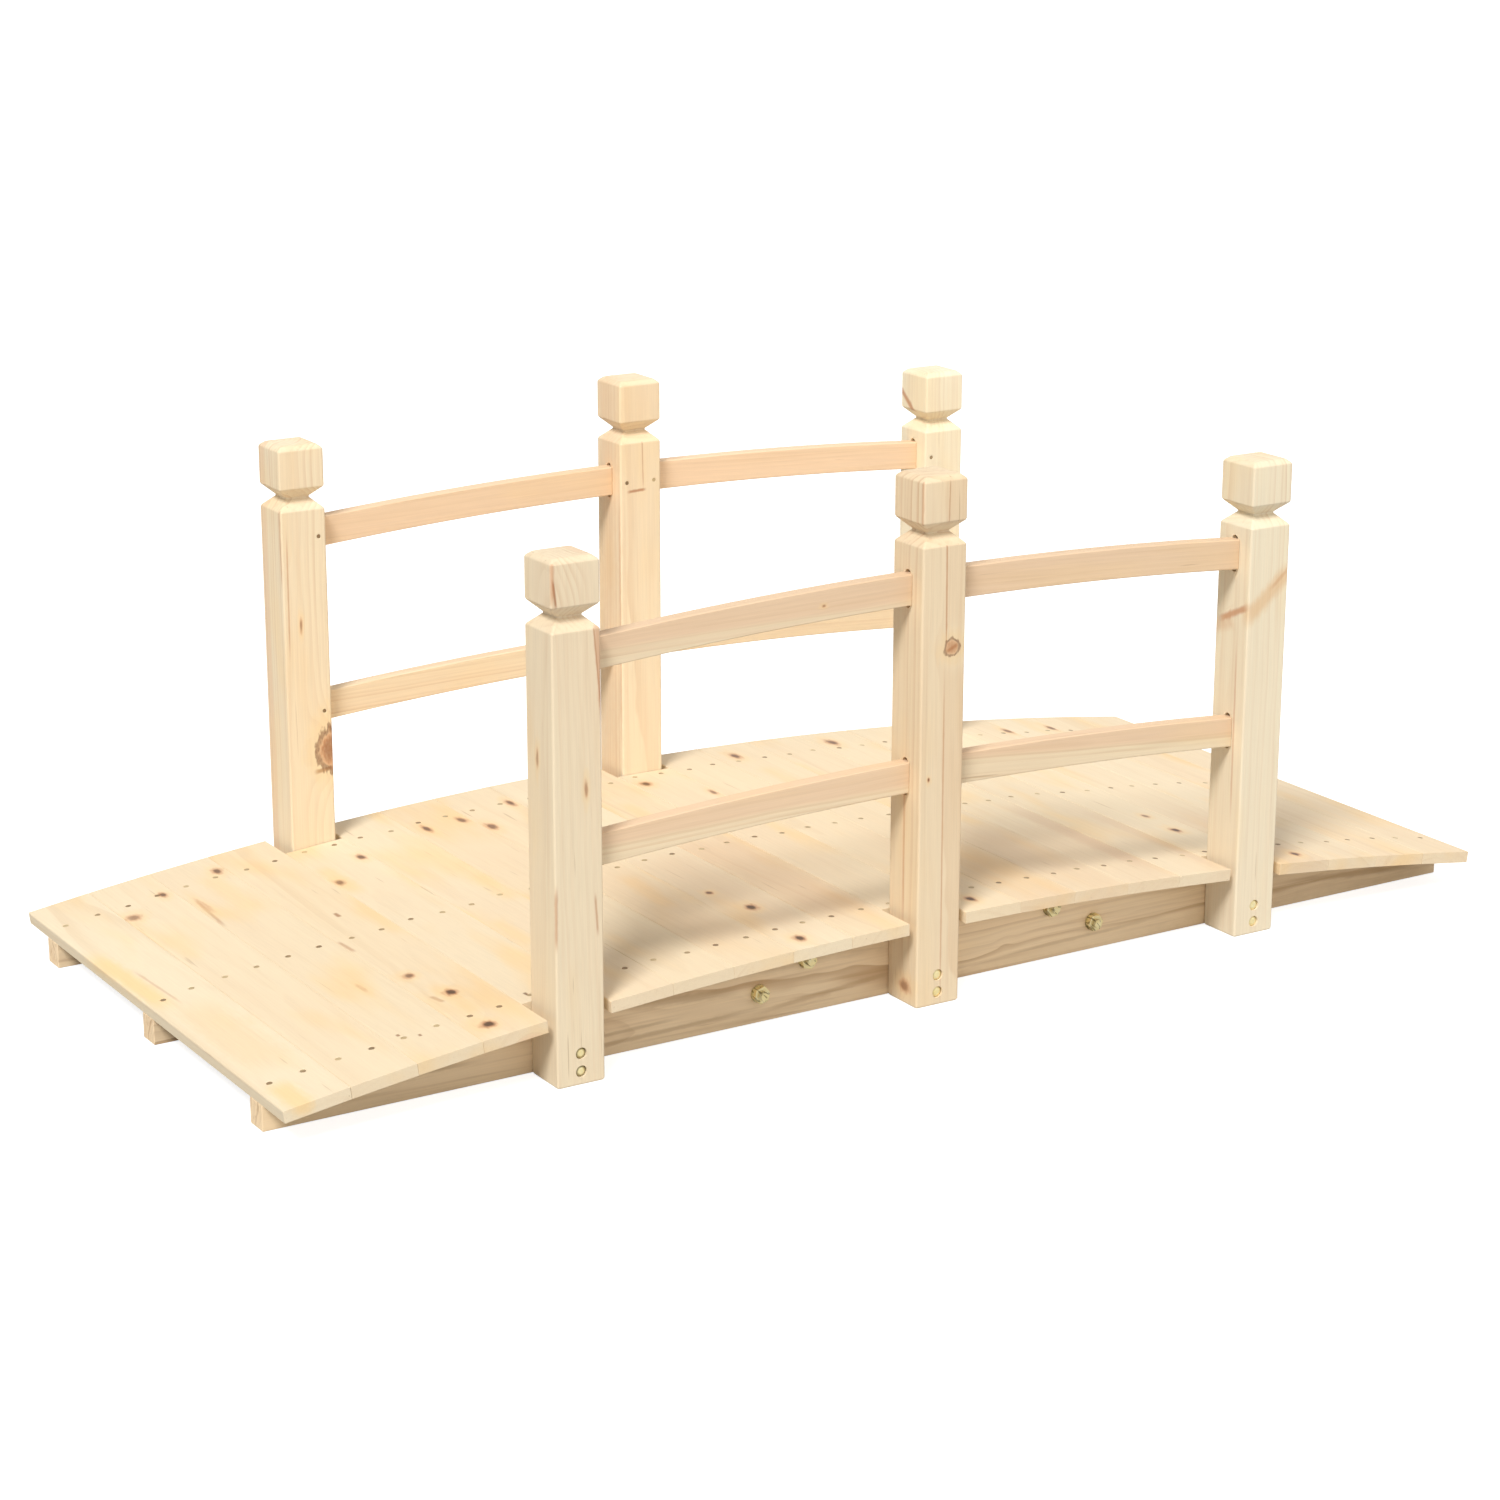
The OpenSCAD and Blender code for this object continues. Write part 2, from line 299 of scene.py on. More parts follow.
def make_knot_group():
    """The branch that a knot is cut through: a cone from the pith out through the knot's place.
    Nearness is the distance from its middle in its own radii, Push how far it bends the rings."""
    tree, given, result = new_group(
        "knot", [("Grain", "Vector", None), ("Place", "Vector", None), ("Form", "Vector", None),
                 ("Ragged", "Float", 1.0)], [("Nearness", "Float"), ("Push", "Float")])
    radius, stretch, rise = parts(tree, given["Form"])
    reach = from_pith(tree, given["Place"])
    start_height = minus(tree, parts(tree, given["Place"])[2], times(tree, rise, reach))
    start = compose(tree, 0.0, 0.0, start_height)
    arm = vector_calc(tree, "SUBTRACT", given["Place"], start)
    axis = vector_calc(tree, "NORMALIZE", arm)
    offset = vector_calc(tree, "SUBTRACT", given["Grain"], start)
    out = vector_calc(tree, "DOT_PRODUCT", offset, axis)
    aside = vector_calc(tree, "SUBTRACT", offset, scale_vector(tree, axis, out))
    shorten = compose(tree, 1.0, 1.0, ratio(tree, 1.0, stretch))
    away = vector_calc(tree, "LENGTH", vector_calc(tree, "MULTIPLY", aside, shorten))
    share = ratio(tree, out, vector_calc(tree, "LENGTH", arm))
    cone = times(tree, radius, larger(tree, share, 0.05))
    even = ratio(tree, away, larger(tree, cone, 1e-6))
    fall = calc(tree, "EXPONENT", times(tree, times(tree, even, even), -0.3))
    tree.links.new(times(tree, even, given["Ragged"]), result.inputs["Nearness"])
    tree.links.new(times(tree, cone, fall), result.inputs["Push"])
    return tree


def make_mark_group():
    """A streak in the wood, a resin line, a bark pocket or a branch cut along its length, or a broad
    patch of painted shade. It lies round the line between its two ends and fades out towards them."""
    tree, given, result = new_group(
        "mark", [("Grain", "Vector", None), ("Start", "Vector", None), ("End", "Vector", None),
                 ("Radius", "Float", 0.0), ("Ragged", "Float", 1.0)], [("Share", "Float")])
    arm = vector_calc(tree, "SUBTRACT", given["End"], given["Start"])
    offset = vector_calc(tree, "SUBTRACT", given["Grain"], given["Start"])
    span = larger(tree, vector_calc(tree, "DOT_PRODUCT", arm, arm), 1e-9)
    along = ratio(tree, vector_calc(tree, "DOT_PRODUCT", offset, arm), span)
    along = calc(tree, "MINIMUM", larger(tree, along, 0.0), 1.0)
    aside = vector_calc(tree, "SUBTRACT", offset, scale_vector(tree, arm, along))
    away = vector_calc(tree, "LENGTH", aside)
    near = ratio(tree, times(tree, away, given["Ragged"]),
                larger(tree, given["Radius"], 1e-6))
    ends = times(tree, soft_step(tree, along, 0.0, 0.25), soft_step(tree, along, 1.0, 0.75))
    share = times(tree, soft_step(tree, near, 1.1, 0.2), ends)
    tree.links.new(share, result.inputs["Share"])
    return tree


def make_softwood_group():
    """Solid fir: growth rings round the pith, pink heartwood inside pale sapwood, amber stains, fine
    fibres, resin flecks along the grain, streaks, patches of painted shade laid on as marks, and
    knots that the rings bend round."""
    colours = [("Sapwood", srgb(232, 214, 183)), ("Heartwood", srgb(228, 200, 167)),
               ("Latewood", srgb(203, 168, 124)), ("Stain", srgb(238, 203, 146)),
               ("Fleck", srgb(158, 124, 86)), ("Knot", srgb(194, 132, 90)), ("Bark", srgb(92, 66, 42))]
    tree, given, result = new_group(
        "softwood", [(name, "Color", colour) for name, colour in colours]
        + [("Ring Width", "Float", 0.005), ("Stain Amount", "Float", 0.3), ("Streak Amount", "Float", 0.25),
           ("Swirl", "Float", 0.002)],
        [("Color", "Color"), ("Roughness", "Float"), ("Height", "Float")])
    grain = stored(tree, "grain")
    heart_radius, brightness, warmth = parts(tree, stored(tree, "timber"))
    ring_scale, ring_contrast, flecks = parts(tree, stored(tree, "figure"))
    cores = parts(tree, stored(tree, "knot_cores"))
    rims = parts(tree, stored(tree, "knot_rims"))

    # Distance from the pith, waved along the log and pushed outwards by the knots
    depth = from_pith(tree, grain)
    wave = ramp(tree, noise(tree, grain, (7, 7, 1.6)), 0.016, -0.008)
    swirl = times(tree, minus(tree, noise(tree, grain, (32, 32, 7)), 0.5), given["Swirl"])
    depth = plus(tree, plus(tree, depth, wave), swirl)
    ragged = ramp(tree, noise(tree, grain, (190, 190, 80)), 0.9, 0.55)
    group = make_knot_group()
    fill = rim = core = halo = 0.0
    for number in range(knots_held):
        knot = place_group(tree, group, {"Grain": grain, "Place": stored(tree, f"knot_place_{number + 1}"),
                                         "Form": stored(tree, f"knot_form_{number + 1}"), "Ragged": ragged})
        near, dark = knot["Nearness"], cores[number]
        depth = minus(tree, depth, knot["Push"])
        shown = calc(tree, "GREATER_THAN", dark, -0.5)
        inside = times(tree, soft_step(tree, near, 1.2, 0.5), shown)
        strength = ramp(tree, rims[number], 0.35, ramp(tree, dark, 0.4, 0.35))
        fill = larger(tree, fill, times(tree, inside, strength))
        edge = times(tree, soft_step(tree, near, 0.72, 0.92), soft_step(tree, near, 1.15, 0.98))
        rim = larger(tree, rim, times(tree, edge, rims[number]))
        core = larger(tree, core, times(tree, soft_step(tree, near, 0.75, 0.3), dark))
        halo = larger(tree, halo, times(tree, soft_step(tree, near, 2.6, 0.9), shown))

    # One ring darkens slowly outwards and ends sharply, and no two rings are quite alike
    uneven = times(tree, line_noise(tree, depth, 60.0), 1.6)
    width = times(tree, given["Ring Width"], ring_scale)
    rings = plus(tree, ratio(tree, depth, width), uneven)
    part = calc(tree, "FRACT", rings)
    count = calc(tree, "FLOOR", rings)
    late = times(tree, soft_step(tree, part, 0.3, 0.94), soft_step(tree, part, 1.0, 0.94))
    late = times(tree, late, soft_step(tree, line_noise(tree, count, 0.73), 0.3, 0.75))
    patch = soft_step(tree, noise(tree, grain, (26, 26, 2.5)), 0.36, 0.62)
    late = times(tree, late, ramp(tree, patch, 0.7, 0.3))
    tone = soft_step(tree, line_noise(tree, count, 0.41), 0.4, 0.7)

    fibre = noise(tree, grain, (800, 800, 16))
    streak = soft_step(tree, noise(tree, grain, (150, 150, 3.5)), 0.5, 0.8)
    cloud = soft_step(tree, noise(tree, grain, (17, 17, 5)), 0.5, 0.75)
    blush = soft_step(tree, noise(tree, grain, (9, 9, 2)), 0.45, 0.7)
    resin = soft_step(tree, noise(tree, grain, (260, 260, 11), 1.0), 0.73, 0.82)
    speckle = ramp(tree, noise(tree, grain, (420, 420, 200)), 1.1, 0.45)

    # The colour is laid on in layers: the wood itself, then its streaks, then its marks, some of which
    # are painted shade, then knots and flecks
    inward = minus(tree, heart_radius, depth)
    heart = soft_step(tree, inward, -0.002, 0.003)
    border = times(tree, soft_step(tree, calc(tree, "ABSOLUTE", inward), 0.0009, 0.0002), 0.4)
    colour = given["Sapwood"]
    for share, amount, layer in (
            (heart, 0.85, "Heartwood"), (tone, times(tree, ring_contrast, 0.45), "Heartwood"),
            (blush, 0.25, "Heartwood"), (cloud, given["Stain Amount"], "Stain"),
            (late, ring_contrast, "Latewood"), (border, ring_contrast, "Latewood"),
            (streak, given["Streak Amount"], "Latewood")):
        colour = blend(tree, times(tree, share, amount), colour, given[layer])
    group = make_mark_group()
    for number in range(marks_held):
        radius, strength, tone = parts(tree, stored(tree, f"mark_form_{number + 1}"))
        mark = place_group(tree, group, {
            "Grain": grain, "Start": stored(tree, f"mark_start_{number + 1}"),
            "End": stored(tree, f"mark_end_{number + 1}"), "Radius": radius, "Ragged": ragged})
        dark = blend(tree, larger(tree, tone, 0.0), given["Knot"], given["Bark"])
        shade = blend(tree, larger(tree, times(tree, tone, -1.0), 0.0), dark, given["Stain"])
        colour = blend(tree, times(tree, mark["Share"], strength), colour, shade)
    for share, amount, layer in (
            (halo, 0.35, "Stain"), (resin, flecks, "Fleck"), (fill, speckle, "Knot"),
            (rim, speckle, "Bark"), (core, 1.0, "Bark")):
        colour = blend(tree, times(tree, share, amount), colour, given[layer])
    shine = times(tree, brightness, ramp(tree, fibre, 0.14, 0.93))
    green = times(tree, shine, ramp(tree, warmth, -0.5, 1.0))
    blue = times(tree, shine, minus(tree, 1.0, warmth))
    tint = output_of(tree, "ShaderNodeCombineColor", (shine, green, blue))
    colour = blend(tree, 1.0, colour, tint, "MULTIPLY")

    rough = ramp(tree, fibre, 0.16, 0.52)
    rough = minus(tree, rough, times(tree, fill, 0.16))
    height = ramp(tree, late, 0.35, times(tree, fibre, 0.65))
    tree.links.new(colour, result.inputs["Color"])
    tree.links.new(rough, result.inputs["Roughness"])
    tree.links.new(height, result.inputs["Height"])
    return tree


softwood = make_softwood_group()


def new_material(name):
    material = bpy.data.materials.new(name)
    material.use_nodes = True
    material.node_tree.nodes.clear()
    return material, material.node_tree


def finish_surface(tree, **inputs):
    """Adds the material's own shader, with its inputs by name, and its output."""
    named = {key.replace("_", " "): value for key, value in inputs.items()}
    shader = output_of(tree, "ShaderNodeBsdfPrincipled", named)
    add_node(tree, "ShaderNodeOutputMaterial", (shader,))


wood_relief_depth = 0.0004
wood_specular = 0.3


def wood_material(name, relief, **values):
    """Bare softwood: the group gives its colour, its roughness and the relief of its fibres."""
    material, tree = new_material(name)
    inputs = {key.replace("_", " ").title(): value for key, value in values.items()}
    wood = place_group(tree, softwood, inputs)
    bump = output_of(tree, "ShaderNodeBump", {
        "Strength": relief, "Distance": wood_relief_depth, "Height": wood["Height"]})
    finish_surface(tree, Base_Color=wood["Color"], Roughness=wood["Roughness"], Normal=bump,
                   Specular_IOR_Level=wood_specular)
    return material


def hand_over(piece, material, slot, *nodes):
    """Gives a finished piece its material and puts it on the body in place of its nodes."""
    piece.data.materials.clear()
    piece.data.materials.append(material)
    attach(piece, "root")
    if nodes:
        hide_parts(*nodes)


# Each mark of a stringer: the height and the place along the bridge of its two ends, its radius, its
# strength and its tone. The wide dark mark near the top of the front left stringer is painted
# shadow under the deck's overhang.
stringer_marks = {
    "stringer_front_left": [
        ((0.011, -0.48), (0.015, -0.17), 0.0034, 0.45, 0.35),
        ((0.021, -0.47), (0.024, -0.27), 0.0026, 0.4, 0.4),
        ((0.050, -0.37), (0.038, -0.20), 0.0060, 0.4, 0.45),
        ((0.060, -0.42), (0.068, 0.14), 0.0150, 0.2, 1.0),
        ((0.010, -0.20), (0.024, -0.01), 0.0040, 0.45, 0.2),
        ((0.030, -0.73), (0.024, -0.50), 0.0040, 0.45, 0.4)],
    "stringer_front_right": [
        ((0.014, 0.10), (0.020, 0.36), 0.0030, 0.3, 0.35),
        ((0.030, 0.50), (0.012, 0.74), 0.0050, 0.45, 0.3),
        ((0.045, 0.22), (0.020, 1.10), 0.0500, 0.28, 0.5)],
}
buried_knot_depth = 0.014
buried_knot = (0.006, 2.0, 0.1, -1.0, 0.0)
# The greyish bark colour also gives that painted shadow its grey.
stringer_wood = wood_material(
    "stringer_wood", 0.35, ring_width=0.0062, stain_amount=0.15, streak_amount=0.6, swirl=0.016,
    sapwood=srgb(225, 201, 166), heartwood=srgb(212, 182, 145), latewood=srgb(176, 143, 105),
    knot=srgb(180, 144, 102), bark=srgb(98, 84, 60))
sawing = random.Random(11)
for name, brightness in [(f"stringer_{line}_{end}", level) for line in lines
                         for end, level in stringer_brightness.items()]:
    low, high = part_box(name)
    steps = round((high.x - low.x) / stringer_step)
    rings = []
    for i in range(steps + 1):
        x = low.x + (high.x - low.x) * i / steps
        top = arch_centre_z + arc_height(x, arch_radius)
        rings.append(cross_section(x, low.y, high.y, low.z, top))
    stringer = loft(f"{name}_board", rings)
    ease_edges(stringer, stringer_edge)
    middle = (low + high) / 2
    face = low.y - middle.y
    marks = [((z - middle.z, face, x - middle.x), (z_end - middle.z, face, x_end - middle.x), *form)
             for (z, x), (z_end, x_end), *form in stringer_marks.get(name, [])]
    saw_from_log(stringer, middle, board_on_edge,
                 pith=(sawing.uniform(-0.06, 0.02), sawing.choice((-1, 1)) * sawing.uniform(0.03, 0.06)),
                 lean=(sawing.uniform(-0.02, 0.02), sawing.uniform(-0.02, 0.02)),
                 timber=(sawing.uniform(-0.02, 0.02), sawing.uniform(0.94, 1.0) * brightness, 0.0),
                 figure=(sawing.uniform(0.8, 1.4), 0.95, 0.5),
                 knots=[(sawing.uniform(-0.03, 0.03), buried_knot_depth, sawing.uniform(-0.3, 0.3),
                         *buried_knot)],
                 marks=marks)
    hand_over(stringer, stringer_wood, "stringer_wood", name)


# Joining boards: a short board of the same rough wood is bolted behind each stringer, across the
# joint of its two lengths. Their ends are cut square and their edges lightly sanded.

joining_edge = 0.001
for line in lines:
    name = f"joining_board_{line}"
    low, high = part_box(name)
    rings = [cross_section(x, low.y, high.y, low.z, high.z) for x in (low.x, high.x)]
    joining_board = loft(f"{name}_piece", rings)
    ease_edges(joining_board, joining_edge)
    saw_from_log(joining_board, (low + high) / 2, board_on_edge,
                 pith=(sawing.uniform(-0.03, 0.03), sawing.uniform(0.03, 0.06)), lean=(0.015, -0.01),
                 timber=(0.02, 0.97, 0.0), figure=(1.0, 0.8, 0.5))
    hand_over(joining_board, stringer_wood, "stringer_wood", name)


# Deck boards: thin planed boards laid tight across the stringers, each turned to the slope of the
# arch. One long edge of each is bevelled, on a few wide enough to catch the light. Two nails hold
# each board to each stringer, and a shallow dimple is left round every nail head.

board_count = 21
deck_edge = 0.0003
deck_bevel = 0.0009
wide_bevel = 0.0020
wide_bevel_boards = (10, 11, 16, 17)
deck_joint = 0.0001
nail_head = 0.0064
nail_stray = 0.0016
nail_place = 0.25
dimple_mouth = 0.0082
dimple_depth = 0.0006
dimple_sides = 16
smooth_angle = math.radians(40)
deck_wood = wood_material("deck_wood", 0.16, ring_width=0.0075, stain_amount=0.6, streak_amount=0.1,
                          swirl=0.006)
deck_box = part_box("board_11")
board_thickness = deck_box[1].z - deck_box[0].z
board_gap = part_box("board_12")[0].x - deck_box[1].x
board_width = deck_box[1].x - deck_box[0].x + max(board_gap - deck_joint, 0.0)


def dimple_cutter(spot, outward, size=1.0):
    """Shallow cone where a nail head has been driven a little below the surface."""
    side = outward.orthogonal().normalized()
    other = outward.cross(side)
    turns = [2 * math.pi * i / dimple_sides for i in range(dimple_sides)]
    profile = [(nail_head / 2, -dimple_depth), (dimple_mouth / 2, 0.0), (dimple_mouth / 2, dimple_depth)]
    rings = []
    for radius, height in profile:
        rings.append([spot + outward * height + (side * math.cos(t) + other * math.sin(t)) * radius * size
                      for t in turns])
    return loft("dimple_cutter", rings)


def cut_away(piece, cutters, smooth=True):
    """Takes the cutters' shapes out of a piece, then evens the shading of one with round corners."""
    joined = bmesh.new()
    for cutter in cutters:
        joined.from_mesh(cutter.data)
        bpy.data.objects.remove(cutter)
    mesh = bpy.data.meshes.new("cutters")
    joined.to_mesh(mesh)
    joined.free()
    tool = new_piece("cutters", mesh)
    cut = piece.modifiers.new("cut", "BOOLEAN")
    cut.operation = "DIFFERENCE"
    cut.solver = "EXACT"
    cut.object = tool
    settle(piece)
    bpy.data.objects.remove(tool)
    if not smooth:
        return
    for face in piece.data.polygons:
        face.use_smooth = True
    piece.data.set_sharp_from_angle(angle=smooth_angle)
    even = piece.modifiers.new("even", "WEIGHTED_NORMAL")
    even.keep_sharp = True
    even.weight = 100
    settle(piece)


# Each knot of a board: its place across and along the board, its radius, its stretch and its darkness
deck_knots = {
    2: [(-0.026, 0.226, 0.009, 1.3, 0.5), (0.024, 0.264, 0.0055, 2.0, 0.8)],
    3: [(0.026, 0.285, 0.006, 2.2, 0.8), (-0.026, 0.200, 0.004, 7.0, 0.0),
        (0.004, -0.130, 0.003, 5.0, 0.0)],
    4: [(-0.012, -0.301, 0.0075, 1.4, 1.0), (-0.003, -0.204, 0.0075, 1.4, 1.0),
        (-0.017, -0.136, 0.0055, 1.6, 0.7)],
    5: [(-0.028, 0.154, 0.007, 1.6, 0.6), (0.025, 0.210, 0.0055, 2.0, 0.8)],
    7: [(-0.019, 0.244, 0.0055, 3.0, 0.8), (0.026, 0.246, 0.005, 3.0, 0.7)],
    8: [(-0.028, 0.204, 0.0055, 2.8, 0.7), (0.028, 0.265, 0.005, 3.0, 0.8)],
    9: [(-0.002, -0.197, 0.0075, 1.6, 1.0), (-0.010, -0.305, 0.007, 1.6, 1.0),
        (-0.015, -0.133, 0.0045, 1.4, 0.8)],
    11: [(-0.020, 0.238, 0.007, 1.5, 0.8), (0.030, 0.169, 0.004, 3.0, 0.6)],
    12: [(-0.007, -0.300, 0.007, 1.5, 1.0)],
    13: [(-0.011, 0.286, 0.0075, 2.0, 0.8)],
    15: [(-0.011, 0.290, 0.0075, 2.2, 0.8)],
    17: [(0.008, -0.181, 0.007, 1.6, 1.0), (0.012, -0.120, 0.005, 1.6, 0.6)],
    18: [(0.011, -0.304, 0.007, 1.4, 0.9), (0.030, 0.274, 0.006, 2.5, 0.7)],
    19: [(0.031, 0.279, 0.006, 2.5, 0.7)],
}
# Each mark of a board: the place across and along the board of its two ends, its radius, strength and tone.
# The broad marks near the front of boards 8 to 10, 13 to 15, 18 and 19 are painted shade under the
# railing, and the narrow ones along the right edges of boards 15 and 16 are painted shade beside the
# wide bevel of the next board.
deck_marks = {
    1: [((-0.030, 0.185), (-0.020, -0.045), 0.015, 0.8, -1.0),
        ((-0.012, 0.100), (-0.006, -0.035), 0.0020, 0.35, 0.1),
        ((-0.015, -0.26), (-0.015, -0.39), 0.017, 0.75, -1.0),
        ((0.000, -0.01), (0.000, -0.26), 0.032, 0.3, -0.8)],
    3: [((-0.027, 0.230), (-0.034, 0.120), 0.0028, 0.5, 0.3),
        ((-0.0205, -0.258), (-0.0205, -0.265), 0.0025, 0.8, 0.6),
        ((-0.0038, -0.273), (-0.0038, -0.280), 0.0022, 0.8, 0.6),
        ((0.01, 0.30), (0.01, 0.12), 0.018, 0.4, -1.0)],
    4: [((-0.0006, 0.077), (-0.0006, 0.060), 0.0032, 0.75, 0.5),
        ((-0.033, 0.002), (-0.031, -0.042), 0.0030, 0.5, 0.3),
        ((-0.025, -0.197), (-0.020, -0.223), 0.0034, 0.5, 0.35),
        ((-0.01, -0.16), (-0.006, -0.28), 0.012, 0.4, -1.0)],
    5: [((-0.020, -0.255), (-0.020, -0.264), 0.0024, 0.85, 0.8),
        ((-0.025, 0.22), (-0.025, 0.10), 0.014, 0.5, -1.0)],
    6: [((0.024, 0.09), (0.024, -0.03), 0.015, 0.45, -1.0),
        ((-0.023, -0.05), (-0.023, -0.16), 0.013, 0.45, -1.0)],
    8: [((0.01, -0.02), (0.00, -0.16), 0.015, 0.4, -1.0), ((0.00, -0.32), (0.00, 0.04), 0.055, 0.14, -0.2)],
    9: [((0.00, -0.33), (0.00, 0.06), 0.060, 0.20, -0.1)],
    10: [((-0.01, 0.20), (-0.01, 0.05), 0.015, 0.4, -1.0),
         ((0.00, -0.32), (0.00, 0.08), 0.060, 0.22, -0.1)],
    13: [((0.00, -0.42), (0.00, -0.04), 0.060, 0.14, -0.3)],
    14: [((0.01, 0.05), (0.02, -0.10), 0.014, 0.4, -1.0),
         ((0.00, -0.42), (0.00, -0.06), 0.060, 0.16, -0.3)],
    15: [((0.00, -0.42), (0.00, -0.08), 0.060, 0.14, -0.3),
         ((0.025, -0.34), (0.025, 0.00), 0.020, 0.22, 0.1)],
    16: [((0.028, -0.36), (0.028, -0.06), 0.016, 0.16, 0.1)],
    18: [((0.00, -0.44), (0.00, -0.08), 0.060, 0.16, 0.3)],
    19: [((0.00, -0.05), (0.01, -0.22), 0.016, 0.4, -1.0),
         ((0.00, -0.44), (0.00, -0.08), 0.060, 0.08, 0.2)],
}
milling = random.Random(5)
hammering = random.Random(3)
deck_nails = []
for number in range(1, board_count + 1):
    name = f"board_{number:02d}"
    low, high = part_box(name)
    centre = (low + high) / 2
    slope = math.asin(centre.x / (arch_radius + board_thickness / 2))
    across = Vector((math.cos(slope), 0, -math.sin(slope)))
    through = Vector((math.sin(slope), 0, math.cos(slope)))
    along = Vector((0, 1, 0))
    half = (high.y - low.y) / 2
    width = board_width if 1 < number < board_count else deck_box[1].x - deck_box[0].x
    a, t = width / 2, board_thickness / 2
    bevel = wide_bevel if number in wide_bevel_boards else deck_bevel
    corners = [(-a, -t), (a, -t), (a, t), (bevel - a, t), (-a, t - bevel)]
    rings = [[centre + across * a + through * t + along * y for a, t in corners] for y in (-half, half)]
    board = loft(f"deck_{name}", rings)
    ease_edges(board, deck_edge, smooth=False)
    nails = []
    for line in lines:
        stringer_low, stringer_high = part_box(f"stringer_{line}_left")
        for a in (-1, 1):
            spot = centre + through * (board_thickness / 2)
            spot = spot + across * (a * width * nail_place + hammering.uniform(-nail_stray, nail_stray))
            spot.y = (stringer_low.y + stringer_high.y) / 2 + hammering.uniform(-nail_stray, nail_stray) * 2
            nails.append((spot, through))
    cut_away(board, [dimple_cutter(spot, outward) for spot, outward in nails], smooth=False)
    deck_nails += nails
    knots = [(a, board_thickness / 2, y, radius, stretch, 0.0, dark, 0.0)
             for a, y, radius, stretch, dark in deck_knots.get(number, [])]
    marks = [((a, board_thickness / 2, y), (b, board_thickness / 2, z), *form)
             for (a, y), (b, z), *form in deck_marks.get(number, [])]
    saw_from_log(board, centre, [across, through, along],
                 pith=(milling.uniform(-0.025, 0.025), -milling.uniform(0.025, 0.07)),
                 lean=(milling.uniform(-0.02, 0.02), milling.uniform(-0.03, 0.03)),
                 timber=(milling.uniform(-0.02, 0.03), milling.uniform(0.965, 0.995),
                         milling.uniform(-0.03, 0.05)),
                 figure=(milling.uniform(0.8, 1.5), milling.uniform(0.1, 0.3), 0.35),
                 knots=knots, marks=marks)
    hand_over(board, deck_wood, "deck_wood", name)


# Deck nails: wire nails with flat heads that have darkened, set a little below the wood. One tree
# of Geometry Nodes puts a head on every point that it is given.

nail_set = 0.0002
nail_height = 0.0009


def new_tree(name, *labels):
    """An empty tree of Geometry Nodes: its inputs are points, the labelled sizes, a seed and a material."""
    sockets = [("Geometry", "Geometry", None)] + [(label, "Float", None) for label in labels]
    sockets += [("Seed", "Int", None), ("Material", "Material", None)]
    return new_group(name, sockets, [("Geometry", "Geometry")], "GeometryNodeTree")


def stand_on_points(tree, given, result, shape):
    """Ends a tree: the shape stands on each point along its stored direction, with a turn about its
    own axis that is drawn from the seed, and all of it is one real mesh."""
    outward = output_of(tree, "GeometryNodeInputNamedAttribute", {"Name": "outward"},
                        data_type="FLOAT_VECTOR")
    stand = output_of(tree, "FunctionNodeAlignRotationToVector", {"Vector": outward}, axis="Z")
    angle = add_node(tree, "FunctionNodeRandomValue", {"Seed": given["Seed"]}, data_type="FLOAT")
    share = next(o for o in angle.outputs if o.enabled)
    euler = compose(tree, 0.0, 0.0, times(tree, share, 2 * math.pi))
    spin = output_of(tree, "FunctionNodeEulerToRotation", (euler,))
    turned = output_of(tree, "FunctionNodeRotateRotation", (stand, spin), rotation_space="LOCAL")
    copies = output_of(tree, "GeometryNodeInstanceOnPoints", {
        "Points": given["Geometry"], "Instance": shape, "Rotation": turned})
    real = output_of(tree, "GeometryNodeRealizeInstances", {"Geometry": copies})
    shown = output_of(tree, "GeometryNodeSetMaterial", {"Geometry": real, "Material": given["Material"]})
    tree.links.new(shown, result.inputs["Geometry"])


def move_up(tree, shape, height):
    lift = compose(tree, 0.0, 0.0, height)
    return output_of(tree, "GeometryNodeTransform", {"Geometry": shape, "Translation": lift})


def make_nail_tree():
    tree, given, result = new_tree("nail_heads", "Head Diameter", "Head Height", "Set Depth")
    radius = times(tree, given["Head Diameter"], 0.5)
    head = output_of(tree, "GeometryNodeMeshCone", {
        "Vertices": 14, "Radius Top": times(tree, radius, 0.92), "Radius Bottom": radius,
        "Depth": given["Head Height"]})
    lowered = times(tree, plus(tree, given["Set Depth"], given["Head Height"]), -1.0)
    stand_on_points(tree, given, result, move_up(tree, head, lowered))
    return tree


def set_out(name, places, tree, **values):
    """A plain mesh of the tree's shape at each place, which is a point and a direction."""
    mesh = bpy.data.meshes.new(name)
    mesh.from_pydata([p for p, _ in places], [], [])
    outward = mesh.attributes.new("outward", "FLOAT_VECTOR", "POINT")
    outward.data.foreach_set("vector", [c for _, d in places for c in d])
    piece = new_piece(name, mesh)
    modifier = piece.modifiers.new(name, "NODES")
    modifier.node_group = tree
    for socket in tree.interface.items_tree:
        key = socket.name.replace(" ", "_").lower()
        if socket.in_out == "INPUT" and key in values:
            modifier[socket.identifier] = values[key]
    settle(piece)
    return piece


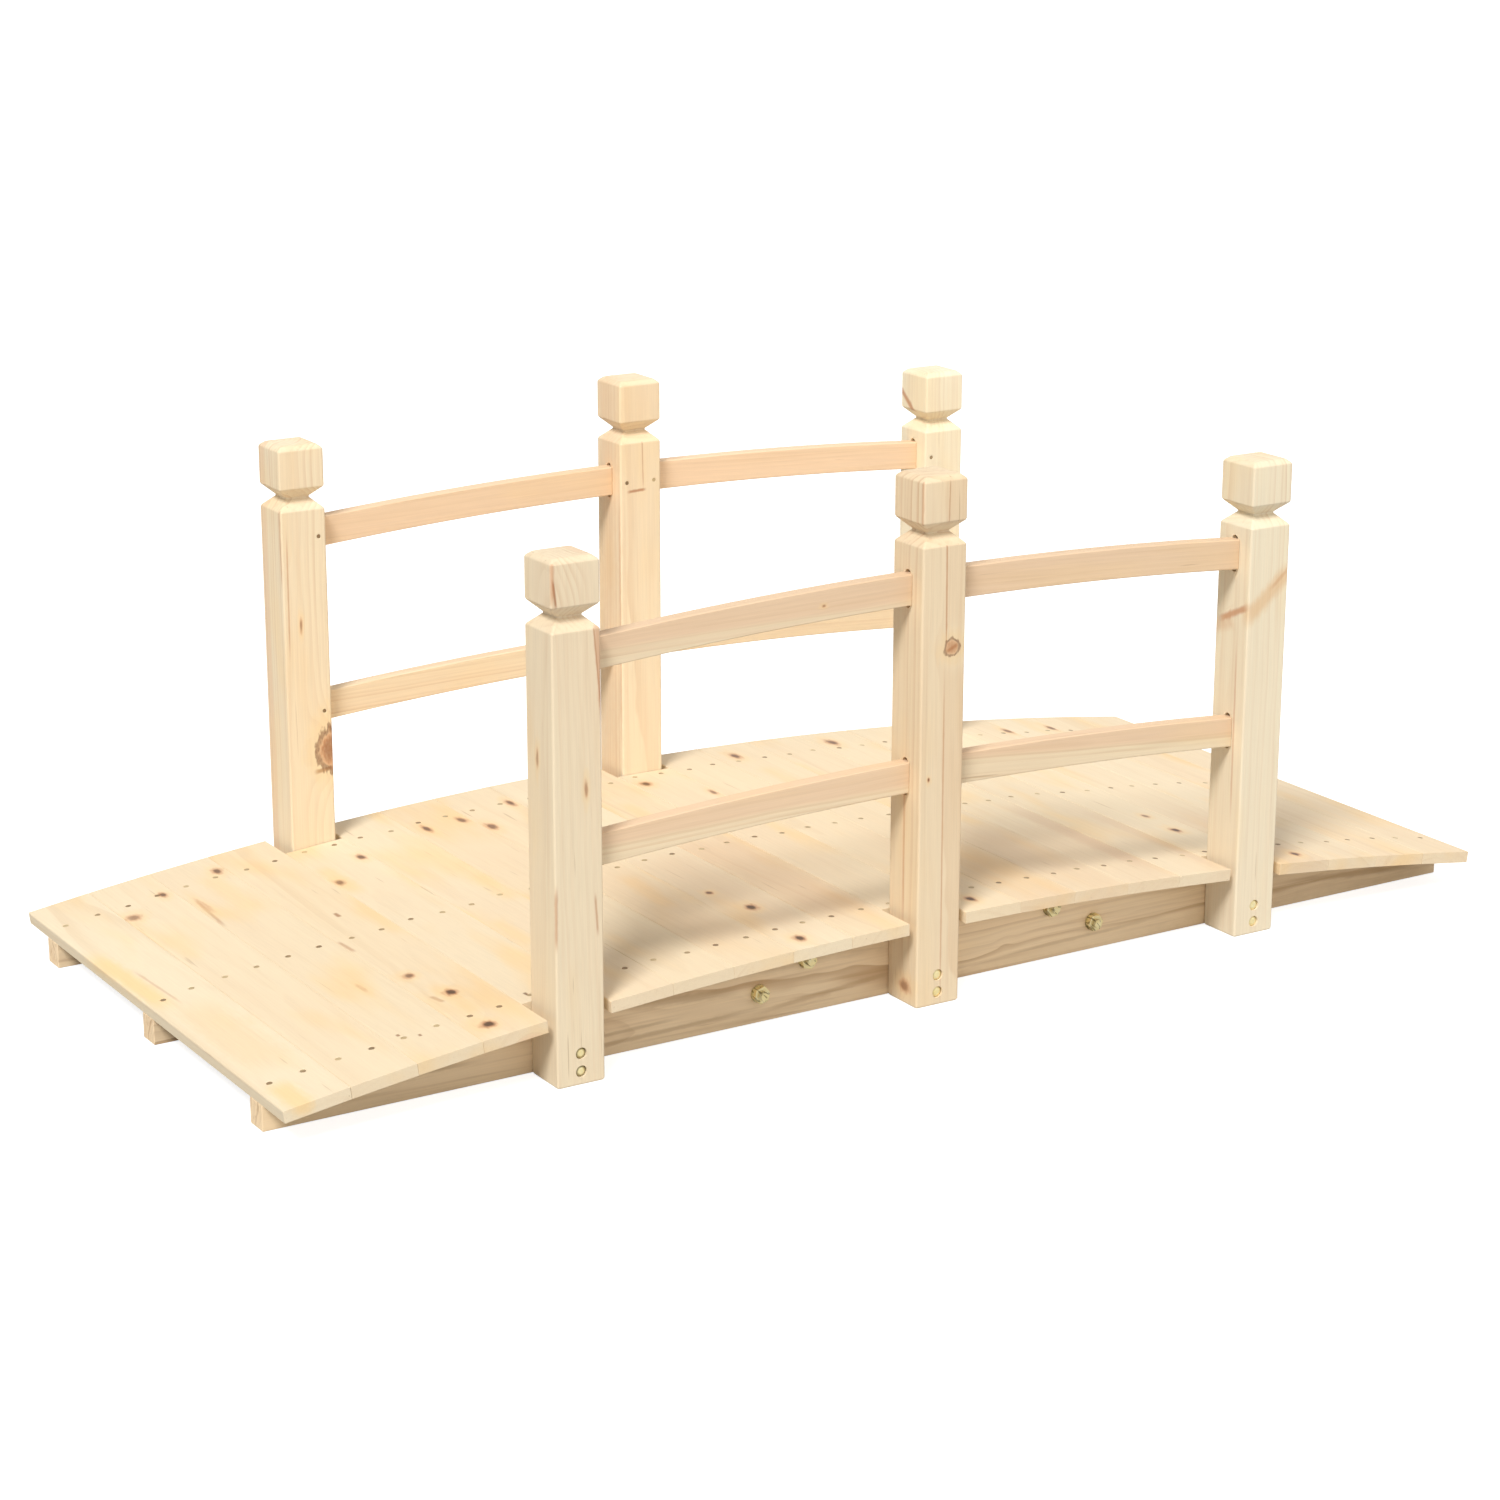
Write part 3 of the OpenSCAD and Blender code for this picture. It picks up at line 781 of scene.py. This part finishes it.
def make_nail_material():
    """Bare wire nail that has gone dark, with a little brown rust in patches."""
    material, tree = new_material("nail_steel")
    place = add_node(tree, "ShaderNodeTexCoord").outputs["Object"]
    patches = noise(tree, place, (420, 420, 420))
    age = soft_step(tree, noise(tree, place, (37, 43, 31), 0.0), 0.35, 0.65)
    colour = blend(tree, soft_step(tree, patches, 0.4, 0.65), srgb(134, 114, 84), srgb(150, 118, 82))
    colour = blend(tree, age, colour, srgb(194, 172, 132))
    rough = ramp(tree, patches, 0.3, 0.4)
    finish_surface(tree, Base_Color=colour, Roughness=rough, Metallic=0.15)
    return material


nail_tree = make_nail_tree()
nail_steel = make_nail_material()
nails = set_out("deck_nails", deck_nails, nail_tree, head_diameter=nail_head, head_height=nail_height,
                set_depth=nail_set, seed=1, material=nail_steel)
hand_over(nails, nail_steel, "plated_steel")


# Posts: square planed posts, each of one piece from the ground to its bevelled cap. A neck is cut
# in by a saw from all four sides, the long edges are rounded, and round-ended mortises take the
# rails. Two pockets near the foot take the heads of its bolts, and nails hold the tenons.

neck_height = 0.025
neck_depth = 0.0135
cap_height = 0.0475
cap_bevel_width = 0.006
cap_bevel_height = 0.005
cap_middle = 0.004
post_corner = 0.0025
post_ease = 0.0012
foot_ease = 0.001
corner_steps = 4
mortise_width = 0.010
mortise_height = 0.041
mortise_depth = 0.0185
pocket_diameter = 0.0125
pocket_depth = 0.007
bolt_heights = (0.014, 0.033)
round_steps = 28
cutter_overrun = 0.002
rail_depth = 0.033
tenon_nail_inset = 0.009
tenon_nail_size = 0.7
cap_contrast = 0.6
post_flecks = 0.4
post_upright = [(1, 0, 0), (0, 1, 0), (0, 0, 1)]
post_wood = wood_material("post_wood", 0.2, ring_width=0.0055, swirl=0.007, latewood=srgb(204, 166, 126),
                          bark=srgb(108, 66, 44))


def rail_names(side, end):
    return [f"rail_{side}_{level}_{end}" for level in ("lower", "upper")]


def rail_centre_z(name):
    """Height of the middle of the circle that a rail's own middle line follows."""
    low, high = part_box(name)
    near = min(abs(low.x), abs(high.x))
    return high.z - arc_height(near, arch_radius + rail_depth / 2)


def rounded_square(centre, half, corner, z):
    ring = []
    for quarter in range(4):
        for step in range(corner_steps + 1):
            angle = math.pi / 2 * (quarter + step / corner_steps)
            sx = 1 if quarter in (0, 3) else -1
            sy = 1 if quarter in (0, 1) else -1
            ring.append((centre.x + sx * (half - corner) + corner * math.cos(angle),
                         centre.y + sy * (half - corner) + corner * math.sin(angle), z))
    return ring


def eased_profile(corners):
    """Replaces each inner corner of an outline by two points, as sanding does."""
    eased = [corners[0]]
    for before, corner, after in zip(corners, corners[1:], corners[2:]):
        for other in (before, after):
            way = (Vector(other) - Vector(corner)).normalized()
            eased.append(tuple(Vector(corner) + way * post_ease))
    return eased + [corners[-1]]


def slot_cutter(face, side, z):
    """Round-ended slot that runs into a post from one of its sides."""
    straight = (mortise_height - mortise_width) / 2
    outline = []
    for step in range(round_steps):
        angle = 2 * math.pi * (step + 0.5) / round_steps
        lift = straight if math.sin(angle) > 0 else -straight
        outline.append((mortise_width / 2 * math.cos(angle), lift + mortise_width / 2 * math.sin(angle)))
    ends = (face.x + side * cutter_overrun, face.x - side * mortise_depth)
    return loft("mortise_cutter", [[(x, face.y + y, z + dz) for y, dz in outline] for x in ends])


def pocket_cutter(face, side, z):
    outline = [(pocket_diameter / 2 * math.cos(2 * math.pi * i / round_steps),
                pocket_diameter / 2 * math.sin(2 * math.pi * i / round_steps)) for i in range(round_steps)]
    ends = (face.y + side * cutter_overrun, face.y - side * pocket_depth)
    return loft("pocket_cutter", [[(face.x + dx, y, z + dz) for dx, dz in outline] for y in ends])


# Each post: its pith from the middle of the post, the lean of its grain, its heartwood, the contrast of
# its rings, and its knots and marks, whose places are across and through the post and up from its foot.
# left and front are the places of those two faces from the middle of the post.
left = front = -0.027
post_timber = {
    "front_left": ((0.060, 0.03), (0.012, 0.02), (0.045, 0.99, -0.02), 0.2, [
        (0.009, front, 0.305, 0.0017, 6.0, 0.0, 0.35, 0.0),
        (left, 0.005, 0.334, 0.003, 4.0, 0.0, 0.35, 0.0),
        (-0.006, front, 0.548, 0.011, 1.7, 0.0, -1.0, 0.0)], [
        ((0.0215, front, 0.490), (0.0285, front, 0.360), 0.0048, 0.55, 0.0),
        ((0.0175, front, 0.485), (0.0270, front, 0.375), 0.0012, 0.60, 0.25),
        ((-0.0250, front, 0.520), (-0.0210, front, 0.486), 0.0020, 0.85, 0.45),
        ((-0.0255, front, 0.545), (-0.0250, front, 0.490), 0.0030, 0.50, 0.0),
        ((0.0175, front, 0.200), (0.0205, front, 0.150), 0.0019, 0.55, 0.2),
        ((-0.0255, front, 0.215), (-0.0265, front, 0.140), 0.0026, 0.55, 0.2)]),
    "front_middle": ((0.025, 0.09), (0.004, 0.006), (0.062, 0.985, 0.06), 0.34, [
        (0.0105, front, 0.388, 0.0098, 1.0, 0.0, 0.1, 0.6),
        (left, -0.004, 0.019, 0.006, 1.5, 0.0, 0.5, 0.0),
        (-0.0160, front, 0.250, 0.0018, 1.8, 0.0, 0.8, 0.0)], [
        ((0.0018, front, 0.530), (0.0035, front, 0.370), 0.0014, 0.65, 0.2),
        ((0.0014, front, 0.390), (0.0036, front, -0.030), 0.0014, 0.5, 0.1),
        ((left, 0.001, 0.280), (left, 0.000, 0.080), 0.0024, 0.4, 0.0),
        ((left, -0.0245, 0.590), (left, -0.0245, 0.495), 0.0024, 0.5, 0.1),
        ((0.0050, front, 0.570), (0.0040, front, 0.510), 0.0012, 0.5, 0.3),
        ((0.0020, front, 0.383), (0.0190, front, 0.391), 0.0026, 0.9, 0.7)]),
    "front_right": ((-0.085, -0.018), (0.006, -0.004), (0.01, 1.02, -0.11), 0.3, [
        (left, 0.003, 0.364, 0.007, 0.7, 0.0, -1.0, 0.0)], [
        ((-0.038, front, 0.356), (0.040, front, 0.423), 0.0130, 0.62, -0.5),
        ((0.000, front, 0.392), (0.040, front, 0.426), 0.0030, 0.32, 0.0),
        ((left, 0.024, 0.354), (left, -0.030, 0.380), 0.0052, 0.75, 0.05),
        ((left, 0.036, 0.344), (left, -0.006, 0.360), 0.0110, 0.35, -0.2),
        ((left, -0.010, 0.350), (left, -0.012, 0.120), 0.0020, 0.45, 0.0)]),
    "back_left": ((-0.03, 0.03), (0.0, 0.0), (0.02, 1.05, -0.02), 0.4, [
        (-left, front, 0.188, 0.0185, 1.5, 0.0, 0.45, 0.6),
        (-0.007, front, 0.335, 0.0020, 5.0, 0.0, 0.4, 0.0)], [
        ((0.001, front, 0.163), (0.034, front, 0.167), 0.0036, 0.85, 0.6),
        ((0.0250, front, 0.216), (0.0255, front, 0.204), 0.0022, 0.9, 0.8),
        ((-0.0205, front, 0.450), (-0.0215, front, 0.290), 0.0013, 0.5, 0.15),
        ((left, -0.0230, 0.490), (left, -0.0240, 0.370), 0.0024, 0.5, 0.2)]),
    "back_middle": ((0.01, 0.06), (0.003, 0.004), (0.04, 1.08, -0.01), 0.4, [], [
        ((-0.020, front, 0.4380), (0.009, front, 0.4395), 0.0024, 0.8, 0.3),
        ((0.0020, front, 0.510), (0.0035, front, 0.435), 0.0012, 0.5, 0.25),
        ((left, -0.0240, 0.470), (left, -0.0240, 0.100), 0.0022, 0.4, 0.1),
        ((-0.042, 0.0040, 0.900), (-0.042, 0.0040, -0.300), 0.0350, 0.36, -0.4)]),
    "back_right": ((-0.06, 0.01), (0.006, 0.002), (0.03, 1.10, -0.13), 0.3, [], [
        ((left, 0.036, 0.518), (left, -0.006, 0.482), 0.0045, 0.8, 0.15)]),
}
tenon_nails = []
for place, (pith, lean, timber, shaft_contrast, knots, marks) in post_timber.items():
    name = f"post_{place}"
    side, end = place.split("_")
    low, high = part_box(name)
    middle = (low + high) / 2
    half = (high.x - low.x) / 2
    cap_foot = high.z - cap_height
    shoulder = cap_foot - neck_height
    profile = eased_profile([
        (half - foot_ease, low.z), (half, low.z + foot_ease), (half, shoulder),
        (half - neck_depth, shoulder + neck_height / 2), (half, cap_foot),
        (half, high.z - cap_bevel_height), (half - cap_bevel_width, high.z), (cap_middle, high.z)])
    rings = [rounded_square(middle, h, min(post_corner, h / 2), z) for h, z in profile]
    post = loft(f"{name}_piece", rings)
    outside = -1 if side == "front" else 1
    outer_face = Vector((middle.x, middle.y + outside * half, 0))
    cutters = [pocket_cutter(outer_face, outside, z) for z in bolt_heights]
    bays = {"left": [(1, "left")], "right": [(-1, "right")], "middle": [(-1, "left"), (1, "right")]}[end]
    for face_side, bay in bays:
        face = Vector((middle.x + face_side * half, middle.y, 0))
        for rail in rail_names(side, bay):
            z = rail_centre_z(rail) + arc_height(face.x, arch_radius)
            cutters.append(slot_cutter(face, face_side, z))
            spot = Vector((face.x - face_side * tenon_nail_inset, middle.y - outside * half, z))
            tenon_nails.append((spot, Vector((0, -outside, 0))))
            cutters.append(dimple_cutter(*tenon_nails[-1], tenon_nail_size))
    cut_away(post, cutters)
    above = np.array([v.co.z for v in post.data.vertices]) > shoulder + post_ease * 2
    contrast = np.where(above, cap_contrast, shaft_contrast)
    figure = np.stack([np.ones_like(contrast), contrast, np.full_like(contrast, post_flecks)], -1)
    saw_from_log(post, (middle.x, middle.y, 0), post_upright, pith, lean, timber, figure, knots, marks)
    hand_over(post, post_wood, "post_wood", name)


# Rails: each is sawn from a plank to the curve of the arch, so its grain runs straight while its
# edges bend. A shouldered tenon on each end goes into the mortise of a post and is nailed there.

tenon_thickness = 0.009
tenon_length = 0.018
rail_edge = 0.0014
rail_steps = 24
rail_lean = (0.02, 0.01)
rail_figure = (1.0, 0.5, 0.4)
rail_wood = wood_material("rail_wood", 0.22, ring_width=0.0040, stain_amount=0.2,
                          sapwood=srgb(233, 213, 180), heartwood=srgb(228, 196, 163))

# Each rail: its pith above or below it and behind it, its heartwood, and its knots along it
rail_timber = {
    "front_upper_left": ((0.045, 0.04), (0.070, 0.97, 0.0), [
        (0.002, -0.0085, 0.080, 0.0016, 2.0, 0.0, 0.4, 0.0)]),
    "front_upper_right": ((-0.04, 0.03), (0.075, 0.98, 0.0), []),
    "front_lower_left": ((0.03, 0.04), (0.060, 1.0, 0.0), []),
    "front_lower_right": ((0.035, 0.03), (0.048, 0.98, 0.0), []),
    "back_upper_left": ((0.03, 0.04), (0.080, 1.06, 0.0), []),
    "back_upper_right": ((-0.03, 0.04), (0.080, 1.12, 0.0), []),
    "back_lower_left": ((0.05, 0.03), (0.045, 1.04, 0.0), []),
    "back_lower_right": ((-0.05, 0.03), (0.040, 1.0, 0.02), []),
}
for place, (pith, timber, knots) in rail_timber.items():
    name = f"rail_{place}"
    low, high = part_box(name)
    centre_z = rail_centre_z(name)
    middle_y = (low.y + high.y) / 2
    stations = [(low.x, tenon_thickness), (low.x + tenon_length, tenon_thickness)]
    inner_low, inner_high = low.x + tenon_length, high.x - tenon_length
    for i in range(rail_steps + 1):
        stations.append((inner_low + (inner_high - inner_low) * i / rail_steps, high.y - low.y))
    stations += [(inner_high, tenon_thickness), (high.x, tenon_thickness)]
    rings = []
    for x, thickness in stations:
        bottom = centre_z + arc_height(x, arch_radius - rail_depth / 2)
        top = centre_z + arc_height(x, arch_radius + rail_depth / 2)
        rings.append(cross_section(x, middle_y - thickness / 2, middle_y + thickness / 2, bottom, top))
    rail = loft(f"{name}_piece", rings)
    ease_edges(rail, rail_edge)
    ends = [Vector((x, middle_y, centre_z + arc_height(x, arch_radius))) for x in (inner_low, inner_high)]
    along = (ends[1] - ends[0]).normalized()
    across = Vector((-along.z, 0, along.x))
    saw_from_log(rail, (ends[0] + ends[1]) / 2, [across, (0, 1, 0), along], pith, rail_lean,
                 timber, rail_figure, knots)
    hand_over(rail, rail_wood, "rail_wood", name)


# Tenon nails: one nail through the inner face of each post holds each tenon in its mortise. They
# are thinner than the nails of the deck, of the same dark steel.

nails = set_out("tenon_nails", tenon_nails, nail_tree, head_diameter=nail_head * tenon_nail_size,
                head_height=nail_height, set_depth=nail_set, seed=2, material=nail_steel)
hand_over(nails, nail_steel, "plated_steel")


# Bolts: yellow zinc-plated steel. Domed bolts hold each post to its stringer, with their heads in
# the pockets, and hex bolts hold the joining boards, with washers, nuts and threaded tips in view.

post_head_diameter = 0.0122
post_head_height = 0.006
post_bolt_diameter = 0.006
post_nut_width = 0.010
post_nut_height = 0.005
joining_bolt_diameter = 0.010
joining_nut_width = 0.017
joining_nut_height = 0.008
joining_offsets = ((-0.216, -0.014), (-0.158, 0.013), (0.158, 0.013), (0.216, -0.014))
washer_thickness = 0.0012
washer_shade = 0.5
bolt_tip = 0.004
head_tip = 0.0002
thread_pitch = 0.0015


def mark_points(tree, shape, name, amount):
    """Stores how much painted shade lies on each point of a fastener, or how strongly dark stripes of
    painted reflection show on it.
    """
    return output_of(tree, "GeometryNodeStoreNamedAttribute", {
        "Geometry": shape, "Name": name, "Value": amount}, data_type="FLOAT", domain="POINT")


def widen(tree, shape, place, width):
    """Scales a shape about its axis, each point by a width of its own."""
    spread = compose(tree, width, width, 1.0)
    return output_of(tree, "GeometryNodeSetPosition", {
        "Geometry": shape, "Position": vector_calc(tree, "MULTIPLY", place, spread)})


def make_nut_tree():
    """A washer, a nut with its corners turned off, and the threaded tip of a bolt."""
    tree, given, result = new_tree(
        "nut_and_tip", "Nut Width", "Nut Height", "Washer Thickness", "Bolt Diameter", "Tip Length",
        "Thread Pitch")
    corner = ratio(tree, given["Nut Width"], 2 * math.cos(math.pi / 6))
    half_nut = times(tree, given["Nut Height"], 0.5)
    hexagon = output_of(tree, "GeometryNodeMeshCylinder", {
        "Vertices": 6, "Radius": corner, "Depth": given["Nut Height"]})
    top = times(tree, given["Nut Width"], 0.475)
    bottom = ramp(tree, given["Nut Height"], 1 / math.tan(math.pi / 6), top)
    nut = add_node(tree, "GeometryNodeMeshBoolean", operation="INTERSECT", solver="EXACT")
    tree.links.new(hexagon, nut.inputs["Mesh 2"])
    for upper, lower in ((top, bottom), (bottom, top)):
        turned = output_of(tree, "GeometryNodeMeshCone", {
            "Vertices": 36, "Radius Top": upper, "Radius Bottom": lower, "Depth": given["Nut Height"]})
        tree.links.new(move_up(tree, turned, times(tree, half_nut, -1.0)), nut.inputs["Mesh 2"])
    nut = move_up(tree, nut.outputs[0], half_nut)

    washer = output_of(tree, "GeometryNodeMeshCylinder", {
        "Vertices": 36, "Radius": corner, "Depth": given["Washer Thickness"]})
    # The washer is darkened all over with painted shade, the shade under the nut.
    washer = mark_points(tree, washer, "grime", washer_shade)
    washer = move_up(tree, washer, times(tree, given["Washer Thickness"], 0.5))

    # The tip's thread is a ridge that climbs one pitch for each turn
    tip = output_of(tree, "GeometryNodeMeshCylinder", {
        "Vertices": 24, "Side Segments": 16, "Radius": times(tree, given["Bolt Diameter"], 0.5),
        "Depth": given["Tip Length"]})
    place = output_of(tree, "GeometryNodeInputPosition")
    xyz = parts(tree, place)
    turn = ratio(tree, calc(tree, "ARCTAN2", xyz[1], xyz[0]), 2 * math.pi)
    climb = plus(tree, ratio(tree, xyz[2], given["Thread Pitch"]), turn)
    ridge = calc(tree, "PINGPONG", climb, 0.5)
    # The grooves along the tip's side are darkened with painted shade, and its end is left clean.
    groove_shade = calc(tree, "LESS_THAN", calc(tree, "ABSOLUTE", xyz[2]), times(tree, given["Tip Length"], 0.45))
    groove_shade = times(tree, groove_shade, ramp(tree, ridge, -2.0, 1.0))
    tip = mark_points(tree, tip, "grime", groove_shade)
    width = ramp(tree, ridge, 0.36, 0.82)
    threaded = widen(tree, tip, place, width)
    half_tip = times(tree, given["Tip Length"], 0.5)
    threaded = move_up(tree, threaded, plus(tree, given["Nut Height"], half_tip))

    whole = add_node(tree, "GeometryNodeJoinGeometry")
    for shape in (threaded, washer, nut):
        tree.links.new(shape, whole.inputs[0])
    # Dark stripes of painted reflection may show anywhere on the nut, its washer and its tip.
    stand_on_points(tree, given, result, mark_points(tree, whole.outputs[0], "dark_reflection_stripes", 1.0))
    return tree


def make_dome_tree():
    """A bolt head with a low dome, which narrows over the upper part of its height, and a rim darkened with
    painted shade.
    """
    tree, given, result = new_tree("domed_heads", "Head Diameter", "Head Height", "Rim Grime")
    head = output_of(tree, "GeometryNodeMeshCylinder", {
        "Vertices": 28, "Side Segments": 10, "Fill Segments": 3, "Depth": given["Head Height"],
        "Radius": times(tree, given["Head Diameter"], 0.5)})
    place = output_of(tree, "GeometryNodeInputPosition")
    xyz = parts(tree, place)
    share = plus(tree, ratio(tree, xyz[2], given["Head Height"]), 0.5)
    curve = larger(tree, ramp(tree, share, 2.5, -1.5), 0.0)
    # The rim of the dome is darkened with painted shade, the shade of the pocket round the head.
    rim_grime = times(tree, soft_step(tree, curve, 1.0, 0.8), given["Rim Grime"])
    head = mark_points(tree, head, "grime", rim_grime)
    width = calc(tree, "SQRT", ramp(tree, times(tree, curve, curve), -0.8, 1.0))
    domed = widen(tree, head, place, width)
    half_head = times(tree, given["Head Height"], 0.5)
    stand_on_points(tree, given, result, move_up(tree, domed, half_head))
    return tree


def make_zinc_material():
    """Yellow-passivated zinc: brassy metal with a cloudy tone and turning marks, with dark stripes of
    painted reflection, and painted shade in grooves, under nuts and round head rims.
    """
    material, tree = new_material("yellow_zinc")
    place = add_node(tree, "ShaderNodeTexCoord").outputs["Object"]
    clouds = noise(tree, place, (190, 190, 190))
    marks = noise(tree, place, (1500, 120, 1500))
    colour = blend(tree, clouds, srgb(250, 226, 148), srgb(255, 248, 208))
    x, y, z = parts(tree, place)
    aslant = compose(tree, plus(tree, x, z), y, minus(tree, x, z))
    # Dark diagonal stripes, drawn like scuffs, are painted reflection of the nut's facets.
    dark_reflection_stripes = soft_step(tree, noise(tree, aslant, (260, 120, 60)), 0.55, 0.62)
    dark_reflection_stripes = times(tree, dark_reflection_stripes, stored(tree, "dark_reflection_stripes", "Fac"))
    colour = blend(tree, times(tree, dark_reflection_stripes, 0.65), colour, srgb(112, 94, 46))
    # Painted shade darkens the washers, the thread's grooves and the heads' rims.
    grime = stored(tree, "grime", "Fac")
    colour = blend(tree, times(tree, grime, 0.8), colour, srgb(98, 80, 44))
    rough = ramp(tree, marks, 0.2, 0.24)
    bump = output_of(tree, "ShaderNodeBump", {"Strength": 0.08, "Distance": 0.0002, "Height": marks})
    finish_surface(tree, Base_Color=colour, Roughness=rough, Normal=bump, Metallic=0.5)
    return material


nut_tree = make_nut_tree()
dome_tree = make_dome_tree()
yellow_zinc = make_zinc_material()
joining_nuts, joining_heads, post_nuts, deep_shade_heads, light_shade_heads = [], [], [], [], []
for side, outward in (("front", -1), ("middle", -1), ("back", 1)):
    stringer_low, stringer_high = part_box(f"stringer_{side}_left")
    board_low, board_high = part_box(f"joining_board_{side}")
    middle = (board_low + board_high) / 2
    nut_face = stringer_low.y if outward < 0 else stringer_high.y
    head_face = board_high.y if outward < 0 else board_low.y
    for dx, dz in joining_offsets:
        joining_nuts.append((Vector((middle.x + dx, nut_face, middle.z + dz)), Vector((0, outward, 0))))
        joining_heads.append((Vector((middle.x + dx, head_face, middle.z + dz)), Vector((0, -outward, 0))))
    if side == "middle":
        continue
    stringer_inside = stringer_high.y if outward < 0 else stringer_low.y
    for end in ("left", "middle", "right"):
        post_low, post_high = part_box(f"post_{side}_{end}")
        x = (post_low.x + post_high.x) / 2
        pocket_floor = (post_low.y + pocket_depth) if outward < 0 else (post_high.y - pocket_depth)
        for z in bolt_heights:
            behind = head_face if end == "middle" and z > board_low.z else stringer_inside
            # The heads on the left posts get a dark rim of painted shade, those on the others a faint one.
            heads = deep_shade_heads if end == "left" else light_shade_heads
            heads.append((Vector((x, pocket_floor, z)), Vector((0, outward, 0))))
            post_nuts.append((Vector((x, behind, z)), Vector((0, -outward, 0))))

threads = dict(washer_thickness=washer_thickness, thread_pitch=thread_pitch)
joining_sizes = dict(threads, nut_width=joining_nut_width, nut_height=joining_nut_height,
                     bolt_diameter=joining_bolt_diameter)
post_sizes = dict(threads, nut_width=post_nut_width, nut_height=post_nut_height,
                  bolt_diameter=post_bolt_diameter)
dome_sizes = dict(head_diameter=post_head_diameter, head_height=post_head_height)
fasteners = [
    ("joining_nuts", joining_nuts, nut_tree, 4, dict(joining_sizes, tip_length=bolt_tip)),
    ("joining_heads", joining_heads, nut_tree, 6, dict(joining_sizes, tip_length=head_tip)),
    ("post_nuts", post_nuts, nut_tree, 8, dict(post_sizes, tip_length=bolt_tip)),
    ("dull_post_heads", deep_shade_heads, dome_tree, 9, dict(dome_sizes, rim_grime=0.85)),
    ("clean_post_heads", light_shade_heads, dome_tree, 10, dict(dome_sizes, rim_grime=0.15)),
]
for name, places, tree, seed, sizes in fasteners:
    fastener = set_out(name, places, tree, seed=seed, material=yellow_zinc, **sizes)
    hand_over(fastener, yellow_zinc, "plated_steel", "bolts")


# Floor, light and camera: a plain white floor under a bright, even studio, with one broad soft lamp
# high on the left that gives the posts their soft shadows on the deck, and a weak one low behind.

floor_half = 30.0
floor_drop = 0.0004
key_azimuth, key_elevation = math.radians(53), math.radians(50)
key_spread = math.radians(18)
key_strength = 2.78
fill_way = Vector((0.45, 0.85, 0.10)).normalized()
fill_spread = math.radians(60)
fill_strength = 0.7
lamp_distance = 3.0
sky_strength = 0.56
sky_colour = (1.0, 0.985, 0.95, 1.0)
sky_lean = (0.35, -0.7, 0.0)
floor_colour = (0.5, 0.5, 0.5, 1.0)
floor_glow = 0.8

floor_mesh = bpy.data.meshes.new("floor")
floor_corners = [(a * floor_half, b * floor_half, -floor_drop)
                 for a, b in ((-1, -1), (1, -1), (1, 1), (-1, 1))]
floor_mesh.from_pydata(floor_corners, [], [(0, 1, 2, 3)])
floor = new_piece("floor", floor_mesh)
floor_white, tree = new_material("floor_white")
lit = output_of(tree, "ShaderNodeBsdfDiffuse", {"Color": floor_colour})
glow = output_of(tree, "ShaderNodeEmission", {"Strength": floor_glow})
seen = add_node(tree, "ShaderNodeLightPath").outputs["Is Camera Ray"]
bright = output_of(tree, "ShaderNodeAddShader", (lit, glow))
mixed = output_of(tree, "ShaderNodeMixShader", (seen, lit, bright))
add_node(tree, "ShaderNodeOutputMaterial", (mixed,))
floor_mesh.materials.append(floor_white)

sky = bpy.data.worlds.new("studio")
sky.use_nodes = True
tree = sky.node_tree
tree.nodes.clear()
direction = add_node(tree, "ShaderNodeTexCoord").outputs["Generated"]
leaning = vector_calc(tree, "DOT_PRODUCT", direction, sky_lean)
level = ramp(tree, leaning, sky_strength, sky_strength)
soft = output_of(tree, "ShaderNodeBackground", {"Color": sky_colour, "Strength": level})
white = output_of(tree, "ShaderNodeBackground", {"Color": (1.0, 1.0, 1.0, 1.0)})
seen = add_node(tree, "ShaderNodeLightPath").outputs["Is Camera Ray"]
mixed = output_of(tree, "ShaderNodeMixShader", (seen, soft, white))
add_node(tree, "ShaderNodeOutputWorld", (mixed,))
bpy.context.scene.world = sky


def heading(turn, rise):
    """The direction that is turned from the far side to the right, and raised."""
    return Vector((math.sin(turn) * math.cos(rise), math.cos(turn) * math.cos(rise), math.sin(rise)))


key_way = -heading(key_azimuth, -key_elevation)
for name, toward, spread, strength in (("key", key_way, key_spread, key_strength),
                                       ("fill", fill_way, fill_spread, fill_strength)):
    lamp = bpy.data.lights.new(name, "SUN")
    lamp.angle = spread
    lamp.energy = strength
    holder = new_piece(name, lamp)
    holder.location = toward * lamp_distance
    holder.rotation_euler = (-toward).to_track_quat("-Z", "Y").to_euler()

frame_pixels = 1500
focal_pixels = 3477.27
sensor_width = 36.0
camera_place = (-1.98355, -3.14912, 1.29972)
camera_yaw, camera_pitch, camera_roll = 0.5565, -0.2886, 0.0021
lens = bpy.data.cameras.new("camera")
lens.sensor_width = sensor_width
lens.lens = focal_pixels * sensor_width / frame_pixels
camera = new_piece("camera", lens)
camera.location = camera_place
forward = heading(camera_yaw, camera_pitch)
level = Vector((math.cos(camera_yaw), -math.sin(camera_yaw), 0))
upward = level.cross(forward)
right = math.cos(camera_roll) * level + math.sin(camera_roll) * upward
top = math.cos(camera_roll) * upward - math.sin(camera_roll) * level
camera.rotation_euler = Matrix((right, top, -forward)).transposed().to_euler()
bpy.context.scene.camera = camera
bpy.context.scene.view_settings.view_transform = "Standard"
